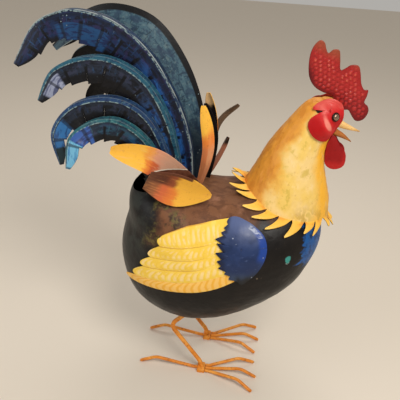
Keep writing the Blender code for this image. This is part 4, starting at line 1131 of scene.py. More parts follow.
# share of the thigh by which the hip's hole runs on past either end
HIP_HOLE_OVER = 0.2


def make_body(paints):
    points, faces = body_surface(220, 84, 0.0, BODY_DENT)
    body = build("body_hammered", points, faces, {}, paints)
    turn_faces(body, away=BODY_CENTRE)
    turn = circle(64)
    outline = np.stack([OPENING_X + OPENING_LENGTH / 2 * np.cos(turn),
                        OPENING_WIDTH / 2 * np.sin(turn)], -1)
    knives = [prism("opening_knife", outline, OPENING_BOTTOM, OPENING_TOP)]
    for side, _ in SIDES:
        path = leg_line(side)
        over = (path[LEG_HIP_STEP] - path[0]) * HIP_HOLE_OVER
        line = np.array([path[0] - over, path[LEG_HIP_STEP] + over])
        rings, _ = tube(line, [LEG_RADIUS + 2 * GAP] * 2, 24)
        knives.append(helper("hip_knife", rings.reshape(-1, 3), drum_faces(2, 24)))
    settle(body, "body_shell", BODY_WALL, -1.0, back=1, rim=2, knives=knives)
    for knife in knives:
        bpy.data.objects.remove(knife, do_unlink=True)


# Neck and head
def neck_rings(grow=0.0):
    """Centres, half axes in the middle plane and half widths of the neck, from the collar up."""
    back = np.array([(x, 0.0, z) for (x, z), _, _ in NECK_RINGS])
    front = np.array([(x, 0.0, z) for _, (x, z), _ in NECK_RINGS])
    half = np.array([width for _, _, width in NECK_RINGS])
    axis = (front - back) / 2
    length = np.linalg.norm(axis, axis=1, keepdims=True)
    return (back + front) / 2, axis * (1 + grow / length), half + grow


def neck_grid(columns, rows_a_station, grow=0.0, first=0):
    """Rings of points from the collar to the crown, one column for each angle from the nape."""
    centre, axis, half = neck_rings(grow)
    turn = circle(columns)[None, :, None]
    rings = (centre[:, None] - axis[:, None] * np.cos(turn)
             - np.array((0.0, 1.0, 0.0)) * (half[:, None, None] * np.sin(turn)))
    if first == 0:
        folded = np.degrees(turn[0])
        folded = np.minimum(folded, 360.0 - folded)
        sag = COLLAR_SAG * np.exp(-((folded - COLLAR_SAG_AT) / COLLAR_SAG_SPREAD) ** 2)
        sag = sag - COLLAR_RISE * np.exp(-((folded - COLLAR_RISE_AT) / COLLAR_RISE_SPREAD) ** 2)
        rings[0] = lift_off_body(rings[0] + (rings[0] - rings[1]) * sag, DRAPE + NECK_WALL)
    rings = rings[first:]
    out = []
    n = len(rings)
    for k in range(n - 1):
        a, b = rings[max(k - 1, 0)], rings[k]
        c, d = rings[k + 1], rings[min(k + 2, n - 1)]
        for t in np.linspace(0, 1, rows_a_station, endpoint=False):
            out.append(catmull(a, b, c, d, t))
    middle = centre[-1]
    rise = np.array((CROWN_FORWARD, 0.0, CROWN_RISE + grow))
    for phi in np.linspace(0, np.pi / 2, 9)[:-1]:
        out.append(middle + (rings[-1] - middle) * np.cos(phi) + rise * np.sin(phi))
    return np.array(out), middle + rise


def make_head_core():
    """The head and neck as one block, a gap larger all round, that trims what stands on them."""
    rings, top = neck_grid(88, 4, GAP, first=1)
    rows, columns = rings.shape[:2]
    points = np.vstack([rings.reshape(-1, 3), top])
    return helper("head_core", points, dome_faces(rows, columns) + [tuple(reversed(range(columns)))])


def tooth_reach(tooth):
    """From the middle of a claw's root to its tip, the left side mirrored from the right."""
    if tooth < len(TOOTH_REACH):
        return np.array(TOOTH_REACH[tooth])
    return np.array(TOOTH_REACH[NECK_TEETH - 1 - tooth]) * (1.0, -1.0, 1.0)


NECK_LENGTH = 0.34
NECK_DENT = 0.0018
NECK_DENT_WIDTH = 0.013
NECK_DENT_HEIGHT = 0.021
NECK_WAVE = 0.0006
# faces across a claw, which the collar shares, and from its root to its tip
TOOTH_COLUMNS = 12
TOOTH_ROWS = 12
# how far a claw bends sideways, how fast it narrows, how round its back is
TOOTH_LEAN = 0.85
TOOTH_POINT = 0.48
TOOTH_CROWN = 0.0022
NECK_MIDDLE = (0.20, 0.0, 0.64)


def hammered_neck(rings):
    """The neck's rings with hammer dents, and the angle from the nape and share of the height."""
    rows, columns = rings.shape[:2]
    angle = np.linspace(0, 360, columns, endpoint=False)
    a, h = np.meshgrid(np.where(angle > 180, 360 - angle, angle), np.linspace(0, 1, rows))
    arm = rings - rings.mean(1, keepdims=True)
    around = np.radians(a) * np.linalg.norm(arm, axis=-1).mean(1, keepdims=True)
    up = h * NECK_LENGTH
    wander = 0.2 * ripple(up / 0.02, around / 0.02, 8)
    dent, own = cells(around / NECK_DENT_WIDTH + wander, up / NECK_DENT_HEIGHT, 4, 0.75)
    depth = NECK_DENT * dent_bowl(dent, 0.62) * (0.25 + 0.75 * own)
    depth = depth * ease(h, 0.02, 0.10) * ease(h, 0.98, 0.80)
    depth = depth + NECK_WAVE * (ripple(around / 0.05, up / 0.05, 6) + 1)
    return rings - unit(arm) * (depth * ease(h, 0.0, 0.06))[..., None], a, h


def make_neck(paints):
    across = TOOTH_COLUMNS
    columns = across * NECK_TEETH
    rings, top = neck_grid(columns, 12)
    rows = len(rings)
    rings, a, h = hammered_neck(rings)
    points = [rings.reshape(-1, 3), top[None]]
    marks = [np.stack([a / 180.0, h], -1).reshape(-1, 2), np.array([[0.5, 1.0]])]
    faces = dome_faces(rows, columns)
    total = rows * columns + 1
    spread = np.linspace(-1, 1, across + 1)[:, None]
    for tooth in range(NECK_TEETH):
        root = [(tooth * across + k) % columns for k in range(across + 1)]
        edge = rings[0][root]
        start = edge[across // 2]
        turn = 360.0 * (tooth + 0.5) / NECK_TEETH
        tip = lift_off_body(start + tooth_reach(tooth), TOOTH_LIFT)
        half = (edge[-1] - edge[0]) / 2
        lean = half * (TOOTH_LEAN if turn < 180 else -TOOTH_LEAN)
        off_line = edge - start - half * spread
        before = root
        for step in range(1, TOOTH_ROWS + 1):
            v = step / TOOTH_ROWS
            if step == TOOTH_ROWS:
                u = np.zeros((1, 1))
                row = tip[None]
            else:
                u = spread
                width = (1.0 - 0.16 * ease(v, 0.0, 0.18)) * math.cos(v * math.pi / 2) ** TOOTH_POINT
                where = start + (tip - start) * v + lean * math.sin(math.pi * v) * 0.5
                row = where + half * width * u + off_line * (1 - v) ** 2
            lift = (DRAPE + NECK_WALL) * (1 - v) + TOOTH_LIFT * (0.35 * v + 0.65 * v * v)
            row = lift_off_body(row, lift)
            outward = unit(row.mean(0) - BODY_CENTRE)
            points.append(row + outward * TOOTH_CROWN * (1 - u * u) * math.sin(math.pi * v))
            count = len(row)
            marks.append(np.stack([np.full(count, min(turn, 360 - turn) / 180.0), np.full(count, -v)], -1))
            index = list(range(total, total + count))
            total += count
            for k in range(across):
                if count > 1:
                    faces.append((before[k], index[k], index[k + 1], before[k + 1]))
                else:
                    faces.append((before[k], index[0], before[k + 1]))
            before = index
    neck = build("neck_hammered", np.vstack(points), faces, {"mark": np.vstack(marks)}, paints)
    turn_faces(neck, away=NECK_MIDDLE)
    settle(neck, "neck_hackle", NECK_WALL, -1.0, back=1, rim=1)


def plate_in_plane(name, outline, count, thickness, spacing, relief, paints, mark):
    """An upright sheet cut to a smooth outline of x, z points, with relief on both its faces."""
    line = spline(outline, count, closed=True)
    low, high = line.min(0) - 2 * spacing, line.max(0) + 2 * spacing
    nx = int(math.ceil((high[0] - low[0]) / spacing))
    nz = int(math.ceil((high[1] - low[1]) / spacing))
    xs, zs = np.linspace(low[0], high[0], nx + 1), np.linspace(low[1], high[1], nz + 1)
    gx, gz = np.meshgrid(xs, zs)
    flat = np.zeros_like(gx)
    front = np.stack([gx, flat - thickness / 2, gz], -1).reshape(-1, 3)
    rear = np.stack([gx, flat + thickness / 2, gz], -1).reshape(-1, 3)
    size = len(front)
    points = np.vstack([front, rear])
    faces = grid_faces(nz + 1, nx + 1)
    faces += [tuple(size + k for k in reversed(face)) for face in faces]
    ring = ([k for k in range(nx + 1)] + [r * (nx + 1) + nx for r in range(1, nz + 1)]
            + [nz * (nx + 1) + k for k in range(nx - 1, -1, -1)]
            + [r * (nx + 1) for r in range(nz - 1, 0, -1)])
    for k, here in enumerate(ring):
        after = ring[(k + 1) % len(ring)]
        faces.append((after, here, size + here, size + after))
    thing = build(name, points, faces, {}, paints)
    turn_faces(thing, away=points.mean(0))
    n = len(line)
    tall = thickness * 2
    points = [(x, -tall, z) for x, z in line] + [(x, tall, z) for x, z in line]
    sides = [tuple(range(n)), tuple(reversed(range(n, 2 * n)))]
    for k in range(n):
        after = (k + 1) % n
        sides.append((after, k, n + k, n + after))
    die = helper(name + "_die", points, sides)
    trim(thing, die, "INTERSECT")
    mesh = bake(thing)
    bpy.data.objects.remove(die, do_unlink=True)
    co = np.empty(len(mesh.vertices) * 3)
    mesh.vertices.foreach_get("co", co)
    co = co.reshape(-1, 3)
    inset = np.full(len(co), 9.0)
    for k in range(n):
        a, b = line[k], line[(k + 1) % n]
        span = b - a
        t = np.clip(((co[:, [0, 2]] - a) @ span) / (span @ span), 0, 1)
        inset = np.minimum(inset, np.linalg.norm(co[:, [0, 2]] - a - t[:, None] * span, axis=1))
    height, bend = relief(co[:, 0], co[:, 2], inset)
    past = 1 - np.minimum(inset / (thickness * 0.5), 1)
    round_edge = thickness / 2 * (1 - np.sqrt(np.clip(1 - past ** 2, 0, 1)))
    co[:, 1] = np.sign(co[:, 1]) * np.maximum(thickness / 2 + height - round_edge * 0.9, 0.0001) + bend
    mesh.vertices.foreach_set("co", co.ravel())
    values = mark(co[:, 0], co[:, 2], inset)
    while mesh.uv_layers:
        mesh.uv_layers.remove(mesh.uv_layers[0])
    marks = values.astype(np.float32)[loop_vertices(mesh)]
    mesh.uv_layers.new(name="mark").data.foreach_set("uv", marks.ravel())
    mesh.update()
    return thing


# side of the squares that the comb and wattles are made of
PLATE_MESH = 0.0014
STUD_LENGTH = 0.0112
STUD_ROW = 0.0098
STUD_HEIGHT = 0.0024
STUD_BED = 0.0008


def comb_studs(x, z):
    """Height of the comb's rows of small pyramids, from 0 to 1."""
    a = (x * 0.80 + z * 0.60) / STUD_LENGTH
    b = (x * -0.60 + z * 0.80) / STUD_ROW
    b = b + 0.30 * ripple(a * 0.5, b * 0.5, 3)
    a = a + 0.30 * ripple(a * 0.6, b * 0.6, 7)
    row = np.floor(b)
    own = hashed(np.floor(a + 0.5 * (row % 2)), row, 2)
    fa = np.abs(a + 0.5 * (row % 2) - np.floor(a + 0.5 * (row % 2)) - 0.5) * 2
    fb = np.abs(b - row - 0.5) * 2
    return np.clip(1.25 - (fa * 1.0 + fb * 0.9), 0, 1) ** 0.85 * (0.45 + 0.55 * own)


def make_comb(core, paints):
    def studded(x, z, inset):
        """The comb's studded zone, and the studs on it."""
        zone = ease(inset, 0.004, 0.012) * ease(z + 0.35 * (x - 0.26), 0.935, 0.905)
        return zone, comb_studs(x, z) * zone

    def relief(x, z, inset):
        zone, studs = studded(x, z, inset)
        puff = 0.0012 * ease(inset, 0.0, 0.02)
        height = puff + STUD_HEIGHT * studs - STUD_BED * zone
        lobe = ease(x, 0.312, 0.334) * ease(z, 0.80, 0.824)
        return height, 0.004 * lobe + 0.0015 * np.sin((z - 0.77) * 30)

    def mark(x, z, inset):
        _, studs = studded(x, z, inset)
        lit = 0.20 + 0.20 * ease(z + 0.5 * (x - 0.26), 0.79, 0.87) + 0.50 * studs
        lit = lit - 0.22 * ease(x, 0.215, 0.19) * ease(z, 0.90, 0.85)
        return np.stack([lit, 0.85 * ease(inset, 0.0035, 0.0005)], -1)

    comb = plate_in_plane("comb_studded", COMB_OUTLINE, 150, COMB_SHEET, PLATE_MESH, relief, paints, mark)
    settle(comb, "comb", knives=[core], crease=60)


def head_tree():
    """The smooth surface of the neck and head, to lay things on."""
    rings, top = neck_grid(132, 8)
    points = np.vstack([rings.reshape(-1, 3), top])
    return BVHTree.FromPolygons([tuple(p) for p in points], dome_faces(*rings.shape[:2]))


CHEEK_RISE = 0.0050
BROW_RISE = 0.0022
# the eye's rivet from its seat up, radius and height as shares of EYE_RADIUS and EYE_DOME
EYE_PROFILE = ((1.00, 0.00), (1.00, 0.10), (0.985, 0.17), (0.94, 0.21), (0.88, 0.22), (0.84, 0.19),
               (0.82, 0.15), (0.80, 0.16), (0.77, 0.30), (0.71, 0.48), (0.62, 0.66), (0.50, 0.81),
               (0.36, 0.92), (0.18, 0.985), (0.05, 1.0))


def make_face(side, suffix, tree, red, brass):
    """A thin plate bent round the cheek with a dome rivet for the eye."""
    spokes, rings = 216, 26
    turn = np.linspace(0, 360, spokes, endpoint=False)
    share = np.linspace(0, 1, rings + 1)[1:] ** 0.9
    t, s = np.meshgrid(turn, share)
    reach = polar(FACE_TABLE, t) * s
    x = FACE_X + reach * np.cos(np.radians(t))
    z = FACE_Z + reach * np.sin(np.radians(t))

    def depth(px, pz):
        hit = tree.ray_cast(Vector((px, side * 0.3, pz)), Vector((0, -side, 0)))[0]
        return max(abs(hit.y) if hit else 0.0, FACE_RIM_Y)

    y = np.array([[depth(px, pz) for px, pz in zip(rx, rz)] for rx, rz in zip(x, z)])
    floor = y.copy()
    for _ in range(10):
        soft = y.copy()
        soft[1:-1] = (y[:-2] + y[2:] + np.roll(y, 1, 1)[1:-1] + np.roll(y, -1, 1)[1:-1]) / 4
        soft[-1] = (2 * y[-2] + np.roll(y, 1, 1)[-1] + np.roll(y, -1, 1)[-1]) / 4
        y = np.maximum(soft, floor)
    cheek = np.exp(-(((x - 0.236) / 0.022) ** 2 + ((z - 0.746) / 0.026) ** 2))
    brow = np.exp(-(((x - 0.250) / 0.026) ** 2 + ((z - 0.806) / 0.008) ** 2))
    y = y + (FACE_LIFT + (CHEEK_RISE * cheek + BROW_RISE * brow) * ease(s, 1.0, 0.82))
    points = np.stack([x, side * y, z], -1).reshape(-1, 3)
    points = np.vstack([[[FACE_X, side * y[0].mean(), FACE_Z]], points])
    # how lit the plate is painted: brighter toward the brow, with a painted highlight on the cheek
    painted_highlight = 0.20 + 0.52 * ease(z, 0.762, 0.796) + 0.95 * np.exp(
        -(((x - 0.248 + 0.5 * (z - 0.758)) / 0.009) ** 2 + ((z - 0.758) / 0.020) ** 2))
    marks = np.stack([painted_highlight, 0.9 * ease(s, 0.93, 1.0)], -1).reshape(-1, 2)
    marks = np.vstack([[[0.5, 0.0]], marks])
    plate = build("face_plate_smooth_" + suffix, points, disc_faces(rings, spokes), {"mark": marks}, [red])
    turn_faces(plate, side=side)
    settle(plate, "face_plate_" + suffix, PLATE_SHEET, 1.0)

    slope_x = depth(EYE_X + EYE_RADIUS, EYE_Z) - depth(EYE_X - EYE_RADIUS, EYE_Z)
    slope_z = depth(EYE_X, EYE_Z + EYE_RADIUS) - depth(EYE_X, EYE_Z - EYE_RADIUS)
    outward = unit((-slope_x, side * 2 * EYE_RADIUS, -slope_z))
    segments = 48
    first = unit(np.cross(outward, (0.0, 0.0, 1.0)))
    second = np.cross(outward, first)
    seat = np.array((EYE_X, side * (depth(EYE_X, EYE_Z) + FACE_LIFT), EYE_Z))
    base = seat + outward * (PLATE_SHEET + EYE_SEAT)
    rows, marks = [], []
    turns = circle(segments)
    for radius, height in EYE_PROFILE:
        rows.append(base + outward * height * EYE_DOME + EYE_RADIUS * radius * (
            first * np.cos(turns)[:, None] + second * np.sin(turns)[:, None]))
        marks.append(np.stack([np.full(segments, height), np.full(segments, radius)], -1))
    points = np.vstack(rows)
    eye = build("eye_rivet_" + suffix, points, drum_faces(len(EYE_PROFILE), segments),
                {"mark": np.vstack(marks)}, [brass])
    turn_faces(eye, away=points.mean(0))
    settle(eye, "eye_" + suffix, crease=50)


def make_wattle(side, suffix, core, paints):
    def relief(x, z, inset):
        return 0.0016 * ease(inset, 0.0, 0.014), 0.0

    def mark(x, z, inset):
        lit = 0.22 + 0.30 * ease(z, 0.665, 0.645) + 0.18 * ease(x, 0.292, 0.304)
        return np.stack([lit, 0.5 * ease(inset, 0.002, 0.0)], -1)

    wattle = plate_in_plane("wattle_pressed_" + suffix, WATTLE_OUTLINE, 90, PLATE_SHEET, PLATE_MESH,
                            relief, paints, mark)
    splay = math.radians(side * WATTLE_SPLAY)
    for vertex in wattle.data.vertices:
        x, y, z = vertex.co.x, vertex.co.y, vertex.co.z - WATTLE_HINGE_Z
        vertex.co = (x, y * math.cos(splay) - z * math.sin(splay) + side * WATTLE_Y,
                     y * math.sin(splay) + z * math.cos(splay) + WATTLE_HINGE_Z)
    settle(wattle, "wattle_" + suffix, knives=[core], crease=60)


def make_beak(core, upper_paint, lower_paint):
    for node, stations, finish, slot in (("beak_upper", BEAK_UPPER, upper_paint, "beak_paint"),
                                         ("beak_lower", BEAK_LOWER, lower_paint, "amber_paint")):
        line = spline([(x, 0.0, z, r) for x, z, r in stations], 36)
        horn = rod(node + "_horn", line[:, :3], line[:, 3], [finish], 28)
        settle(horn, node, knives=[core], crease=50)


# Wings
WING_LENGTH = 0.26
DABS_PER_METRE = 62.0
# each band's dabs start this share of a dab later than those of the band above
DAB_SHIFT = 0.47
WING_DENT = 0.0004


def make_wing(side, suffix, paints):
    """One sheet on the flank: bands that bulge between creases, each with its own rounded end."""
    bands = len(WING_BANDS) - 1
    across, columns = 14, 150
    top = spline([(x, z) for x, z in WING_TOP], columns + 1)
    bottom = spline([(x, z) for x, z in WING_BOTTOM], columns + 1)
    start_top, start_low = top[0], bottom[0]
    inner_top, inner_low = top[(columns * 3) // 7], bottom[(columns * 3) // 7]
    notches, ends = np.array(WING_NOTCHES), np.array(WING_ENDS)
    lines, marks, lifts = [], [], []
    along = np.linspace(0, 1, columns + 1)
    fade = np.sin(np.pi / 2 * np.minimum(along * 1.2, 1.0))
    for band in range(bands):
        for step in range(across + (band == bands - 1)):
            t = step / across
            share = WING_BANDS[band] + (WING_BANDS[band + 1] - WING_BANDS[band]) * t
            hump = 2 * ends[band] - (notches[band] + notches[band + 1]) / 2
            end = notches[band] * (1 - t) ** 2 + hump * 2 * t * (1 - t) + notches[band + 1] * t * t
            lines.append(spline([start_top + (start_low - start_top) * share,
                                 inner_top + (inner_low - inner_top) * share, end], columns + 1))
            marks.append((band, t))
            lifts.append((share, math.sin(math.pi * t) ** 0.7))
    lines = np.array(lines)
    first, last = top - lines[0], bottom - lines[-1]
    for k, (band, t) in enumerate(marks):
        if band == 0:
            lines[k] += first * max(1 - 2 * t, 0)
        if band == bands - 1:
            lines[k] += last * max(2 * t - 1, 0)
    x, z = lines[..., 0], lines[..., 1]
    share = np.array([s for s, b in lifts])[:, None]
    bulge = np.array([b for s, b in lifts])[:, None]
    within = np.array([t for b, t in marks])[:, None]
    band = np.array([b for b, t in marks])[:, None]
    metres = along[None, :] * WING_LENGTH
    cell = metres * DABS_PER_METRE + band * DAB_SHIFT
    dab = np.sin(np.pi * (cell - np.floor(cell))) ** 2 * bulge
    lift = DRAPE + WING_TIP_LIFT * along[None, :] ** 4 * share + WING_BULGE * fade * bulge
    lift = lift - WING_DENT * dab * fade * ease(along[None, :], 0.0, 0.1)
    lift = lift + WING_DENT * ripple(metres / 0.006, share * 30, 4) * fade
    y = flank_y(x, z) + np.maximum(lift, DRAPE)
    points = np.stack([x, side * y, z], -1)
    uv = np.stack(np.broadcast_arrays(metres + 0 * x, share + 0 * x), -1)
    mark = np.stack(np.broadcast_arrays(band + 0 * x, within + 0 * x), -1)
    wing = build("wing_sheet_" + suffix, points.reshape(-1, 3), grid_faces(len(lines), columns + 1),
                 {"uv": uv, "mark": mark}, paints)
    turn_faces(wing, side=side)
    settle(wing, "wing_" + suffix, WING_SHEET, 1.0, back=1, crease=45)


def make_shoulder(side, suffix, paints):
    """A domed round plate over the front of the wing, its rear edge cut into claws."""
    claws = np.array(SHOULDER_CLAWS)
    t = np.linspace(0, 1, 9, endpoint=False)[:, None]
    saw = np.vstack([a + (b - a) * t for a, b in zip(claws[:-1], claws[1:])])
    curve = spline(np.vstack([claws[-1:], SHOULDER_FRONT, claws[:1]]), 170)
    rim = np.vstack([saw, curve[:-1]])
    spokes, rings = len(rim), 30
    turn = np.arctan2(rim[:, 1], rim[:, 0])
    turn = np.sort(np.mod(turn - turn[0] + 0.05, 2 * np.pi)) + turn[0] - 0.05
    inner = np.stack([SHOULDER_LENGTH / 2 * np.cos(turn), SHOULDER_HEIGHT / 2 * np.sin(turn)], -1)
    inner = inner * SHOULDER_INNER
    s = np.linspace(0, 1, rings + 1)[1:, None]
    within = np.minimum(s / SHOULDER_INNER, 1.0)[..., None] * inner[None]
    beyond = np.maximum(s - SHOULDER_INNER, 0.0)[..., None] / (1.0 - SHOULDER_INNER)
    flat = within + (rim - inner)[None] * beyond
    x, z = SHOULDER_X + flat[..., 0], SHOULDER_Z + flat[..., 1]
    front_x = SHOULDER_X + SHOULDER_LENGTH / 2
    rear = np.clip((front_x - x) / (front_x - WING_TOP[0][0]), 0, 1)
    lift = DRAPE + SHOULDER_OVER_WING * rear + SHOULDER_DOME * (1 - s * s)
    lift = lift + 0.0004 * ripple(x / 0.012, z / 0.012, 2) * (1 - s ** 4)
    y = flank_y(x, z) + lift
    points = np.vstack([[[SHOULDER_X, side * y[0].mean(), SHOULDER_Z]],
                        np.stack([x, side * y, z], -1).reshape(-1, 3)])
    share = np.stack(np.broadcast_arrays(s, np.mod(turn, 2 * np.pi)[None] / (2 * np.pi)), -1)
    marks = np.vstack([[[0.0, 0.0]], share.reshape(-1, 2)])
    plate = build("shoulder_plate_" + suffix, points, disc_faces(rings, spokes), {"mark": marks}, paints)
    turn_faces(plate, side=side)
    settle(plate, "wing_shoulder_" + suffix, WING_SHEET, 1.0, back=1)


# Tail
def feather_width(share):
    if share < FULL_FROM:
        return ROOT_WIDTH + (1.0 - ROOT_WIDTH) * math.sin(math.pi / 2 * share / FULL_FROM)
    if share < FULL_TO:
        return 1.0
    if share < TIP_FROM:
        return 1.0 - (1.0 - TIP_WIDTH) * ((share - FULL_TO) / (TIP_FROM - FULL_TO)) ** 1.3
    return TIP_WIDTH - (TIP_WIDTH - POINT_WIDTH) * ((share - TIP_FROM) / (1.0 - TIP_FROM)) ** 1.5


def shelf_spread(share):
    if share > SHELF_TAPER_FROM:
        return 1.0 - SHELF_TAPER * (share - SHELF_TAPER_FROM) / (1.0 - SHELF_TAPER_FROM)
    return SHELF_ROOT + (1.0 - SHELF_ROOT) * min(1.0, share / SHELF_FULL_FROM)


# how far the hanging half bows, as a share of its width, and how far its teeth curl
HANG_BOW = 0.035
TOOTH_CURL = 0.0016


def make_sickle(node, kind, side, core, paints):
    """A curved tail feather folded along its ridge, with a slit and saw cut hanging half."""
    root_y, tip_y, width, lean_root, lean_tip, shelf, slits = SICKLE_FORMS[kind]
    ridge = SICKLE_RIDGES[kind]
    last = len(ridge) - 1
    path = [(x, side * (root_y + (tip_y - root_y) * (k / last) ** SICKLE_SPREAD), z)
            for k, (x, z) in enumerate(ridge)]
    fine = spline(path, 2400)
    length = float(np.linalg.norm(np.diff(fine, axis=0), axis=1).sum())
    tangents = unit(np.gradient(fine, axis=0))
    steps = 10
    shelf_rows, near_rows, far_rows = 5, 5, 6
    root_share = 1.0 - SLIT_DEPTH

    def station(share):
        at = min(int(round(share * (len(fine) - 1))), len(fine) - 1)
        tangent = tangents[at]
        hollow = unit((-tangent[2], 0.0, tangent[0]))
        out = np.array((0.0, side, 0.0))
        lean = math.radians(lean_root + (lean_tip - lean_root) * share)
        hang = hollow * math.cos(lean) + out * math.sin(lean)
        face = np.cross(tangent, hang)
        face = unit(face) * (1.0 if face[1] * side > 0 else -1.0)
        angle = CROWN_SHELF_ANGLE
        if kind != "crown":
            angle = SHELF_ANGLE_ROOT + (SHELF_ANGLE_TIP - SHELF_ANGLE_ROOT) * share
        angle = math.radians(angle)
        flat = hollow * math.cos(angle) - out * math.sin(angle)
        return fine[at], hang, face, flat

    def hang_point(share, v, number):
        """A point of the hanging half, v from the ridge to the saw edge."""
        point, hang, face, _ = station(share)
        breadth = width * feather_width(share)
        within = share * slits - math.floor(min(share, 0.9999) * slits)
        saw = SAW_STEP * (0.5 - within) * min(1.0, 4 * share)
        reach = breadth - saw * max(v - root_share, 0.0) / SLIT_DEPTH
        bow = HANG_BOW * breadth * math.sin(math.pi * v)
        curl = TOOTH_CURL * (hashed(number, 1.0, len(kind)) - 0.4) * max(v - root_share, 0.0) / SLIT_DEPTH
        return point + hang * reach * v + face * (bow + curl)

    points, uv, mark, faces = [], [], [], []

    def put(position, share, across, metres):
        points.append(position)
        uv.append((share * length, metres))
        mark.append((share, across))
        return len(points) - 1

    count = slits * steps + 1
    rows = shelf_rows + near_rows + 1
    table = np.zeros((count, rows), int)
    for k in range(count):
        share = k / (count - 1)
        point, _, _, flat = station(share)
        spread = shelf * shelf_spread(share)
        breadth = width * feather_width(share)
        for row in range(rows):
            if row < shelf_rows:
                v = 1.0 - row / shelf_rows
                table[k, row] = put(point + flat * spread * v, share, -v, -spread * v)
            else:
                v = (row - shelf_rows) / near_rows * root_share
                position = point if v == 0 else hang_point(share, v, k // steps)
                table[k, row] = put(position, share, v, breadth * v)
    for k in range(count - 1):
        for row in range(rows - 1):
            faces.append((table[k, row], table[k, row + 1], table[k + 1, row + 1], table[k + 1, row]))
    half_slit = SLIT_WIDTH / length / 2
    for tooth in range(slits):
        before = [table[tooth * steps + j, rows - 1] for j in range(steps + 1)]
        for row in range(1, far_rows + 1):
            w = row / far_rows
            v = root_share + SLIT_DEPTH * w
            line = []
            for j in range(steps + 1):
                share = (tooth + j / steps) / slits
                pinch = half_slit * w ** 0.6
                if tooth > 0:
                    share += pinch * (1 - j / steps)
                if tooth < slits - 1:
                    share -= pinch * (j / steps)
                position = hang_point(min(max(share, tooth / slits + 1e-6), (tooth + 1) / slits - 1e-6),
                                      v, tooth)
                line.append(put(position, share, v, width * feather_width(share) * v))
            for j in range(steps):
                faces.append((before[j], line[j], line[j + 1], before[j + 1]))
            before = line
    feather = build(node + "_sheet", points, [tuple(int(k) for k in face) for face in faces],
                    {"uv": uv, "mark": mark}, paints)
    turn_faces(feather, side=side)
    back = 0 if kind == "crown" else 1
    settle(feather, node, FEATHER_SHEET, 0.0, back=back, rim=2,
           knives=[core], crease=32)


def leaf_width(share, form):
    widest, root_width, bluntness = form
    if share < widest:
        return root_width + (1.0 - root_width) * math.sin(math.pi / 2 * share / widest)
    past = (share - widest) / (1.02 - widest)
    return max(math.cos(math.pi / 2 * past), 0.0) ** bluntness


LEAF_WAVE = 0.0008


def make_leaf(node, root, middle, tip, across, width, fold, form, core, slot, paints):
    """A small leaf-shaped cover feather with a shallow fold down its middle."""
    stations, columns = 70, 17
    share = 1.0 - (1.0 - np.linspace(0, 1, stations)) ** 1.25
    dense = spline([root, middle, tip], 400)
    tangents = unit(np.gradient(dense, axis=0))
    length = float(np.linalg.norm(np.diff(dense, axis=0), axis=1).sum())
    sideways = unit(across)
    points, uv, mark = [], [], []
    for s in share:
        at = int(round(s * 399))
        tangent = tangents[at]
        spread = unit(sideways - tangent * (sideways @ tangent))
        normal = np.cross(tangent, spread)
        wide = leaf_width(s, form)
        for v in np.linspace(-1, 1, columns):
            crown = 1 - abs(v) ** 1.7
            wave = LEAF_WAVE * math.sin(s * 9 + v * 2)
            points.append(dense[at] + spread * v * width / 2 * wide + normal * (fold * wide * crown + wave))
            uv.append((s * length, v * width / 2 * wide))
            mark.append((s, v))
    leaf = build(node + "_sheet", points, grid_faces(stations, columns), {"uv": uv, "mark": mark}, paints)
    turn_faces(leaf, side=math.copysign(1.0, middle[1]))
    settle(leaf, node, LEAF_SHEET, 0.0, back=1, knives=[core])


# Legs and feet
# the uneven skin of a rod is drawn round this share of its radius
ROD_WITHIN = 0.985
ROD_UNEVEN = 0.03
ROD_WAVE = 0.012
# share of a toe's radius at its tip
TOE_END = 0.82


def uneven_radii(path, radius, seed):
    """Radii along a rod with a slightly uneven skin."""
    lengths = np.r_[0, np.cumsum(np.linalg.norm(np.diff(path, axis=0), axis=1))]
    skin = 1 + ROD_UNEVEN * ripple(lengths / ROD_WAVE, np.full(len(path), seed), 3)
    return radius * ROD_WITHIN * skin


def make_legs(paint):
    for side, suffix in SIDES:
        line = leg_line(side)
        leg = rod("leg_rod_" + suffix, line, uneven_radii(line, LEG_RADIUS, 1 + side), [paint], 24)
        settle(leg, "leg_" + suffix)
        centre_y = side * FOOT_SPACING / 2
        make_pad(centre_y, suffix, paint)
        for number, (toe, (share, knuckle_x, knuckle_y, tip_x, tip_y)) in enumerate(TOES.items()):
            forward = math.copysign(1.0, tip_x)
            root = np.array((forward * (PAD_LENGTH / 2 + GAP), centre_y + side * share * TOE_SPREAD,
                             PAD_HEIGHT / 2))
            straight = root + np.array((forward * TOE_STRAIGHT, 0.0, 0.0))
            knuckle = np.array((knuckle_x, centre_y + side * knuckle_y, KNUCKLE_Z))
            tip = np.array((tip_x, centre_y + side * tip_y, TOE_TIP_Z))
            to_root, to_tip = unit(straight - knuckle), unit(tip - knuckle)
            a, b = knuckle + to_root * TOE_BEND, knuckle + to_tip * TOE_BEND
            path = np.vstack([between(root, straight, 5), between(straight, a, 14)[1:-1],
                              rounded(a, knuckle, b, 10), between(b, tip, 8)[1:]])
            radii = uneven_radii(path, TOE_RADIUS, number + 2 + side)
            radii[-1] *= TOE_END
            rod_toe = rod("toe_rod_" + toe + "_" + suffix, path, radii, [paint], 20)
            settle(rod_toe, "toe_" + toe + "_" + suffix)


# the pad is flat over this share of its half sizes and rounded over the rest
PAD_FLAT = 0.72
PAD_ROUND = 0.28
PAD_LUMP = 0.02
PAD_WITHIN = 0.98


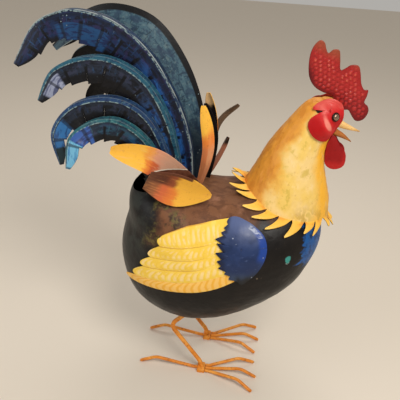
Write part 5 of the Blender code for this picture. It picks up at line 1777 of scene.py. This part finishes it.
def make_pad(centre_y, suffix, paint):
    """The weld pad: a block with soft uneven edges."""
    work = bmesh.new()
    bmesh.ops.create_cube(work, size=1.0)
    bmesh.ops.subdivide_edges(work, edges=work.edges, cuts=15, use_grid_fill=True)
    for vertex in work.verts:
        p = np.array(vertex.co) * 2
        corner = np.clip(np.abs(p) - PAD_FLAT, 0, 1) / PAD_ROUND
        over = np.linalg.norm(corner)
        if over > 1:
            p = np.sign(p) * np.where(np.abs(p) > PAD_FLAT, PAD_FLAT + PAD_ROUND * corner / over, np.abs(p))
        x, y, z = p
        lump = PAD_LUMP * float(ripple(np.array(x * 2.5 + 7), np.array(y * 3.1 + z * 2), 4))
        if z < -0.9:
            lump = 0.0
        vertex.co = (x * PAD_LENGTH / 2 * (PAD_WITHIN + lump), y * PAD_WIDTH / 2 * (PAD_WITHIN + lump),
                     z * PAD_HEIGHT / 2)
    mesh = bpy.data.meshes.new("pad")
    work.to_mesh(mesh)
    work.free()
    mesh.transform(Matrix.Translation((0.0, centre_y, PAD_HEIGHT / 2)))
    mesh.materials.append(paint)
    settle(set_down("weld_pad_" + suffix, mesh), "ankle_pad_" + suffix)


# The bird
# the body shell's inside is near black, like its outside
inside_black = dark_metal("shell_inside_black", tint(20, 17, 15))
cut_edge = dark_metal("cut_edge", tint(44, 34, 28), 0.5)
feather_edge = dark_metal("feather_edge", tint(22, 25, 30), 0.8)
feather_back = dark_metal("feather_back", tint(15, 16, 20), 0.5)
neck_inside = dark_metal("hackle_inside", tint(96, 62, 28), 0.55)
wing_back = dark_metal("wing_back", tint(80, 56, 30), 0.55)
leaf_back = dark_metal("leaf_back", tint(64, 40, 28), 0.5)

make_body([body_paint(), inside_black, cut_edge])
head_core = make_head_core()
make_neck([neck_paint(), neck_inside])
comb_red = red_paint("comb_red", tint(98, 18, 22), tint(168, 40, 38), tint(212, 104, 80), 0.42, 0.12,
                     lobes=tint(146, 78, 52))
make_comb(head_core, [comb_red])
face_red = red_paint("face_red", tint(170, 12, 16), tint(198, 34, 36), tint(232, 132, 118), 0.42, 0.06)
wattle_red = red_paint("wattle_red", tint(138, 16, 18), tint(176, 30, 28), tint(200, 60, 50), 0.42, 0.12)
make_beak(head_core,
          horn_paint("beak_cream", tint(228, 184, 116), tint(240, 206, 140), tint(150, 96, 44)),
          horn_paint("beak_brown", tint(168, 100, 46), tint(190, 126, 62), tint(96, 52, 26)))
smooth_head = head_tree()
brass = brass_paint()
wing_yellow = wing_paint()
shoulder_blue = shoulder_paint()
for side, suffix in SIDES:
    make_face(side, suffix, smooth_head, face_red, brass)
    make_wattle(side, suffix, head_core, [wattle_red])
    make_wing(side, suffix, [wing_yellow, wing_back])
    make_shoulder(side, suffix, [shoulder_blue, wing_back])
bpy.data.objects.remove(head_core, do_unlink=True)

core_points, core_faces = body_surface(108, 40, GAP)
body_core = helper("body_core", core_points, core_faces)
PURPLE = (38, 36, 70)
COBALT, COBALT_DARK = (34, 84, 148), (22, 44, 84)
LOOK_COLOURS = ("base", "dark", "blotch", "glint", "border", "border_dark", "border_light",
                "block", "block_dark")


def brushwork(*colours, **settings):
    """A tail feather's colours and the settings of its brushwork."""
    return {**{key: tint(*colour) for key, colour in zip(LOOK_COLOURS, colours)}, **settings}


# each look's facets hold blocks of painted highlight, and on the middle feathers one of painted shade
sickle_looks = {
    "crown": brushwork(
        (22, 40, 66), (14, 20, 34), (40, 58, 80), (70, 96, 110), (66, 94, 108), (42, 66, 84),
        (104, 130, 134), COBALT, COBALT_DARK, window=(0.1, 0.2, 0.4, 0.5), saw_from=0.7, facets=()),
    "top": brushwork(
        (22, 38, 70), (14, 18, 34), PURPLE, (34, 74, 116), (30, 50, 80), (18, 28, 46), (96, 116, 124),
        COBALT, COBALT_DARK, window=(0.08, 0.14, 0.4, 0.52), border_width=0.05, ridge=0.0012,
        saw_from=0.74, facets=((0.6, 0.8, 0.42, tint(28, 64, 104), tint(24, 38, 74)),)),
    "upper": brushwork(
        (31, 38, 52), (17, 19, 27), (46, 49, 68), (40, 70, 104), (36, 84, 104), (26, 58, 84),
        (96, 142, 142), (38, 80, 134), (24, 44, 84), window=(0.06, 0.12, 0.36, 0.5), border_width=0.14,
        ridge=0.0006, saw_from=0.56, facets=((0.86, 0.965, 0.3, tint(136, 142, 164), tint(74, 80, 108)),)),
    "middle": brushwork(
        (28, 34, 46), (14, 16, 22), (40, 43, 60), (36, 58, 92), (34, 62, 100), (26, 44, 78),
        (92, 130, 138), (30, 70, 130), (22, 38, 70), window=(0.04, 0.1, 0.22, 0.34), border_width=0.16,
        ridge=0.0006, saw_from=0.52,
        facets=((0.79, 0.93, 0.22, tint(44, 98, 150), tint(30, 66, 112)),
                (0.93, 1.1, -0.1, tint(26, 44, 50), tint(16, 22, 26)))),
    "lower": brushwork(
        (34, 66, 86), (22, 34, 50), (48, 54, 78), (52, 100, 116), (38, 92, 102), (26, 62, 80),
        (104, 150, 148), (34, 84, 124), (26, 50, 76), window=(0.04, 0.1, 0.42, 0.56), border_width=0.14,
        ridge=0.0006, saw_from=0.6,
        facets=((0.74, 0.86, 0.12, tint(50, 84, 150), tint(36, 52, 104)),
                (0.86, 1.1, -0.9, tint(104, 166, 196), tint(54, 112, 160)))),
}
sickles = {kind: sickle_paint(kind, SICKLE_FORMS[kind][-1], look) for kind, look in sickle_looks.items()}
for side, suffix in SIDES:
    for kind in ("upper", "middle", "lower"):
        make_sickle("sickle_" + kind + "_" + suffix, kind, side, body_core,
                    [sickles[kind], feather_back, feather_edge])
make_sickle("sickle_top_right", "top", -1.0, body_core, [sickles["top"], feather_back, feather_edge])
make_sickle("sickle_top_left", "crown", 1.0, body_core, [sickles["crown"], feather_back, feather_edge])

YELLOW, AMBER = tint(248, 188, 70), tint(232, 132, 58)
RUST, EARTH, ROSE = tint(206, 98, 58), tint(104, 62, 44), tint(216, 164, 136)
leaf_paints = {
    "covert_rear": leaf_paint(
        "leaf_rear",
        ((0.0, ROSE), (0.48, ROSE), (0.56, RUST), (0.62, AMBER), (0.68, YELLOW)),
        ((0.0, ROSE), (0.46, ROSE), (0.58, tint(226, 156, 124)), (0.66, tint(240, 160, 70)), (0.72, YELLOW)),
        tint(232, 190, 150), tint(200, 130, 66), painted_curl=True),
    # on covert_flank the upper side of the fold is painted darker than the lower, painted shade of the part
    # that faces down, and the dark rust strip along its upper edge is painted shade too
    "covert_flank": leaf_paint(
        "leaf_flank",
        ((0.0, tint(112, 72, 50)), (0.16, tint(150, 92, 60)), (0.28, tint(214, 108, 66)),
         (0.44, AMBER), (0.56, YELLOW)),
        ((0.0, EARTH), (0.20, tint(92, 50, 36)), (0.36, tint(150, 78, 48)), (0.48, YELLOW)),
        tint(226, 160, 92), tint(190, 122, 56),
        ((0.0, 0.60, 0.78, 1.10, tint(104, 60, 42)),)),
    "covert_upright": leaf_paint(
        "leaf_upright",
        ((0.0, EARTH), (0.25, tint(176, 108, 70)), (0.50, tint(214, 126, 78)), (0.62, AMBER),
         (0.74, YELLOW)),
        ((0.0, EARTH), (0.25, tint(190, 122, 84)), (0.50, tint(220, 150, 104)), (0.66, AMBER),
         (0.80, YELLOW)),
        tint(230, 160, 96), tint(150, 90, 50)),
}
leaf_paints["covert_rear_left"] = leaf_paints["covert_rear"]
umber = leaf_paint("umber_leaf", *[((0.0, tint(120, 84, 66)), (0.5, tint(158, 104, 82)),
                                     (0.80, tint(150, 96, 74)), (0.90, tint(30, 22, 20)))] * 2,
                   tint(176, 124, 100), tint(96, 62, 48))
near_black = dark_metal("black_leaf", tint(26, 21, 20), 0.45)
tan_back = leaf_paint("tan_back", *[((0.0, tint(20, 17, 17)), (0.84, tint(24, 20, 19)),
                                     (0.90, tint(196, 160, 112)))] * 2, tint(40, 32, 28), tint(60, 46, 36))
grey_umber = dark_metal("grey_leaf", tint(112, 92, 74), 0.45)
leaf_slots = {"covert_dark": (near_black, "umber_paint"), "covert_far_high": (grey_umber, "umber_paint"),
              "covert_far_low": (umber, "umber_paint")}
for node, leaf in LEAVES.items():
    finish, slot = leaf_slots.get(node, (leaf_paints.get(node), "amber_paint"))
    make_leaf(node, *leaf, body_core, slot, [finish, finish if node in leaf_slots else leaf_back])
    if node in MIRRORED_LEAVES:
        root, middle, tip, across, width, fold, form = leaf
        flipped = [(x, -y, z) for x, y, z in (root, middle, tip, across)]
        rear = tan_back if node == "covert_upright" else leaf_back
        make_leaf(node + "_left", *flipped, width, -fold, form, body_core, slot, [finish, rear])
bpy.data.objects.remove(body_core, do_unlink=True)
make_legs(leg_paint())

# Stage, light and camera
floor_paint = Paint("floor_paint")
floor_paint.finish(tint(222, 211, 196), 0.75)
floor = build("floor", [(-6, -6, 0), (6, -6, 0), (6, 6, 0), (-6, 6, 0)], [(0, 1, 2, 3)], {},
              [floor_paint.material])

bpy.context.scene.view_settings.view_transform = "Standard"
world = bpy.data.worlds.new("room")
bpy.context.scene.world = world
world.use_nodes = True
world.node_tree.nodes["Background"].inputs[0].default_value = (0.86, 0.83, 0.78, 1.0)
world.node_tree.nodes["Background"].inputs[1].default_value = 0.50


def soft_light(name, place, target, size, power, colour):
    data = bpy.data.lights.new(name, "AREA")
    data.shape = "DISK"
    data.size = size
    data.energy = power
    data.color = colour
    lamp = bpy.data.objects.new(name, data)
    bpy.context.scene.collection.objects.link(lamp)
    lamp.location = place
    lamp.rotation_euler = (Vector(target) - Vector(place)).to_track_quat("-Z", "Y").to_euler()


soft_light("key", (0.9, -1.6, 2.4), (0.05, 0.0, 0.5), 1.2, 46.0, (1.0, 0.96, 0.90))
soft_light("fill", (-2.2, -1.4, 1.5), (0.0, 0.0, 0.5), 1.8, 16.0, (0.94, 0.97, 1.0))
soft_light("top", (0.2, 1.2, 2.6), (0.0, 0.0, 0.5), 1.6, 18.0, (1.0, 0.97, 0.93))

# in the photograph's pixels: its width, the camera's focal length, and where upright lines
# meet, to the right of the picture's middle and below it
PHOTO_WIDTH = 400.0
FOCAL_PIXELS = 600.0
UPRIGHTS_MEET = (-63.0, 1120.0)
SENSOR_WIDTH = 36.0
CAMERA_HEADING = 6.0
CAMERA_AT = (0.10489448, -1.35329673, 1.235)

down = np.array((*UPRIGHTS_MEET, FOCAL_PIXELS))
down = down / np.linalg.norm(down)
ahead = unit(np.array((0.0, 0.0, 1.0)) - down * down[2])
across = np.array((1.0, 0.0, 0.0)) - down * down[0]
across = unit(across - ahead * (across @ ahead))
heading = math.radians(CAMERA_HEADING)
turn = (np.outer((math.cos(heading), math.sin(heading), 0.0), across)
        + np.outer((-math.sin(heading), math.cos(heading), 0.0), ahead)
        + np.outer((0.0, 0.0, -1.0), down))
camera_data = bpy.data.cameras.new("view")
camera_data.lens = FOCAL_PIXELS / PHOTO_WIDTH * SENSOR_WIDTH
camera_data.sensor_width = SENSOR_WIDTH
camera = bpy.data.objects.new("view", camera_data)
bpy.context.scene.collection.objects.link(camera)
spin = Matrix([[turn[k][0], -turn[k][1], -turn[k][2]] for k in range(3)]).to_4x4()
camera.matrix_world = Matrix.Translation(Vector(CAMERA_AT) + SHIFT) @ spin
bpy.context.scene.camera = camera
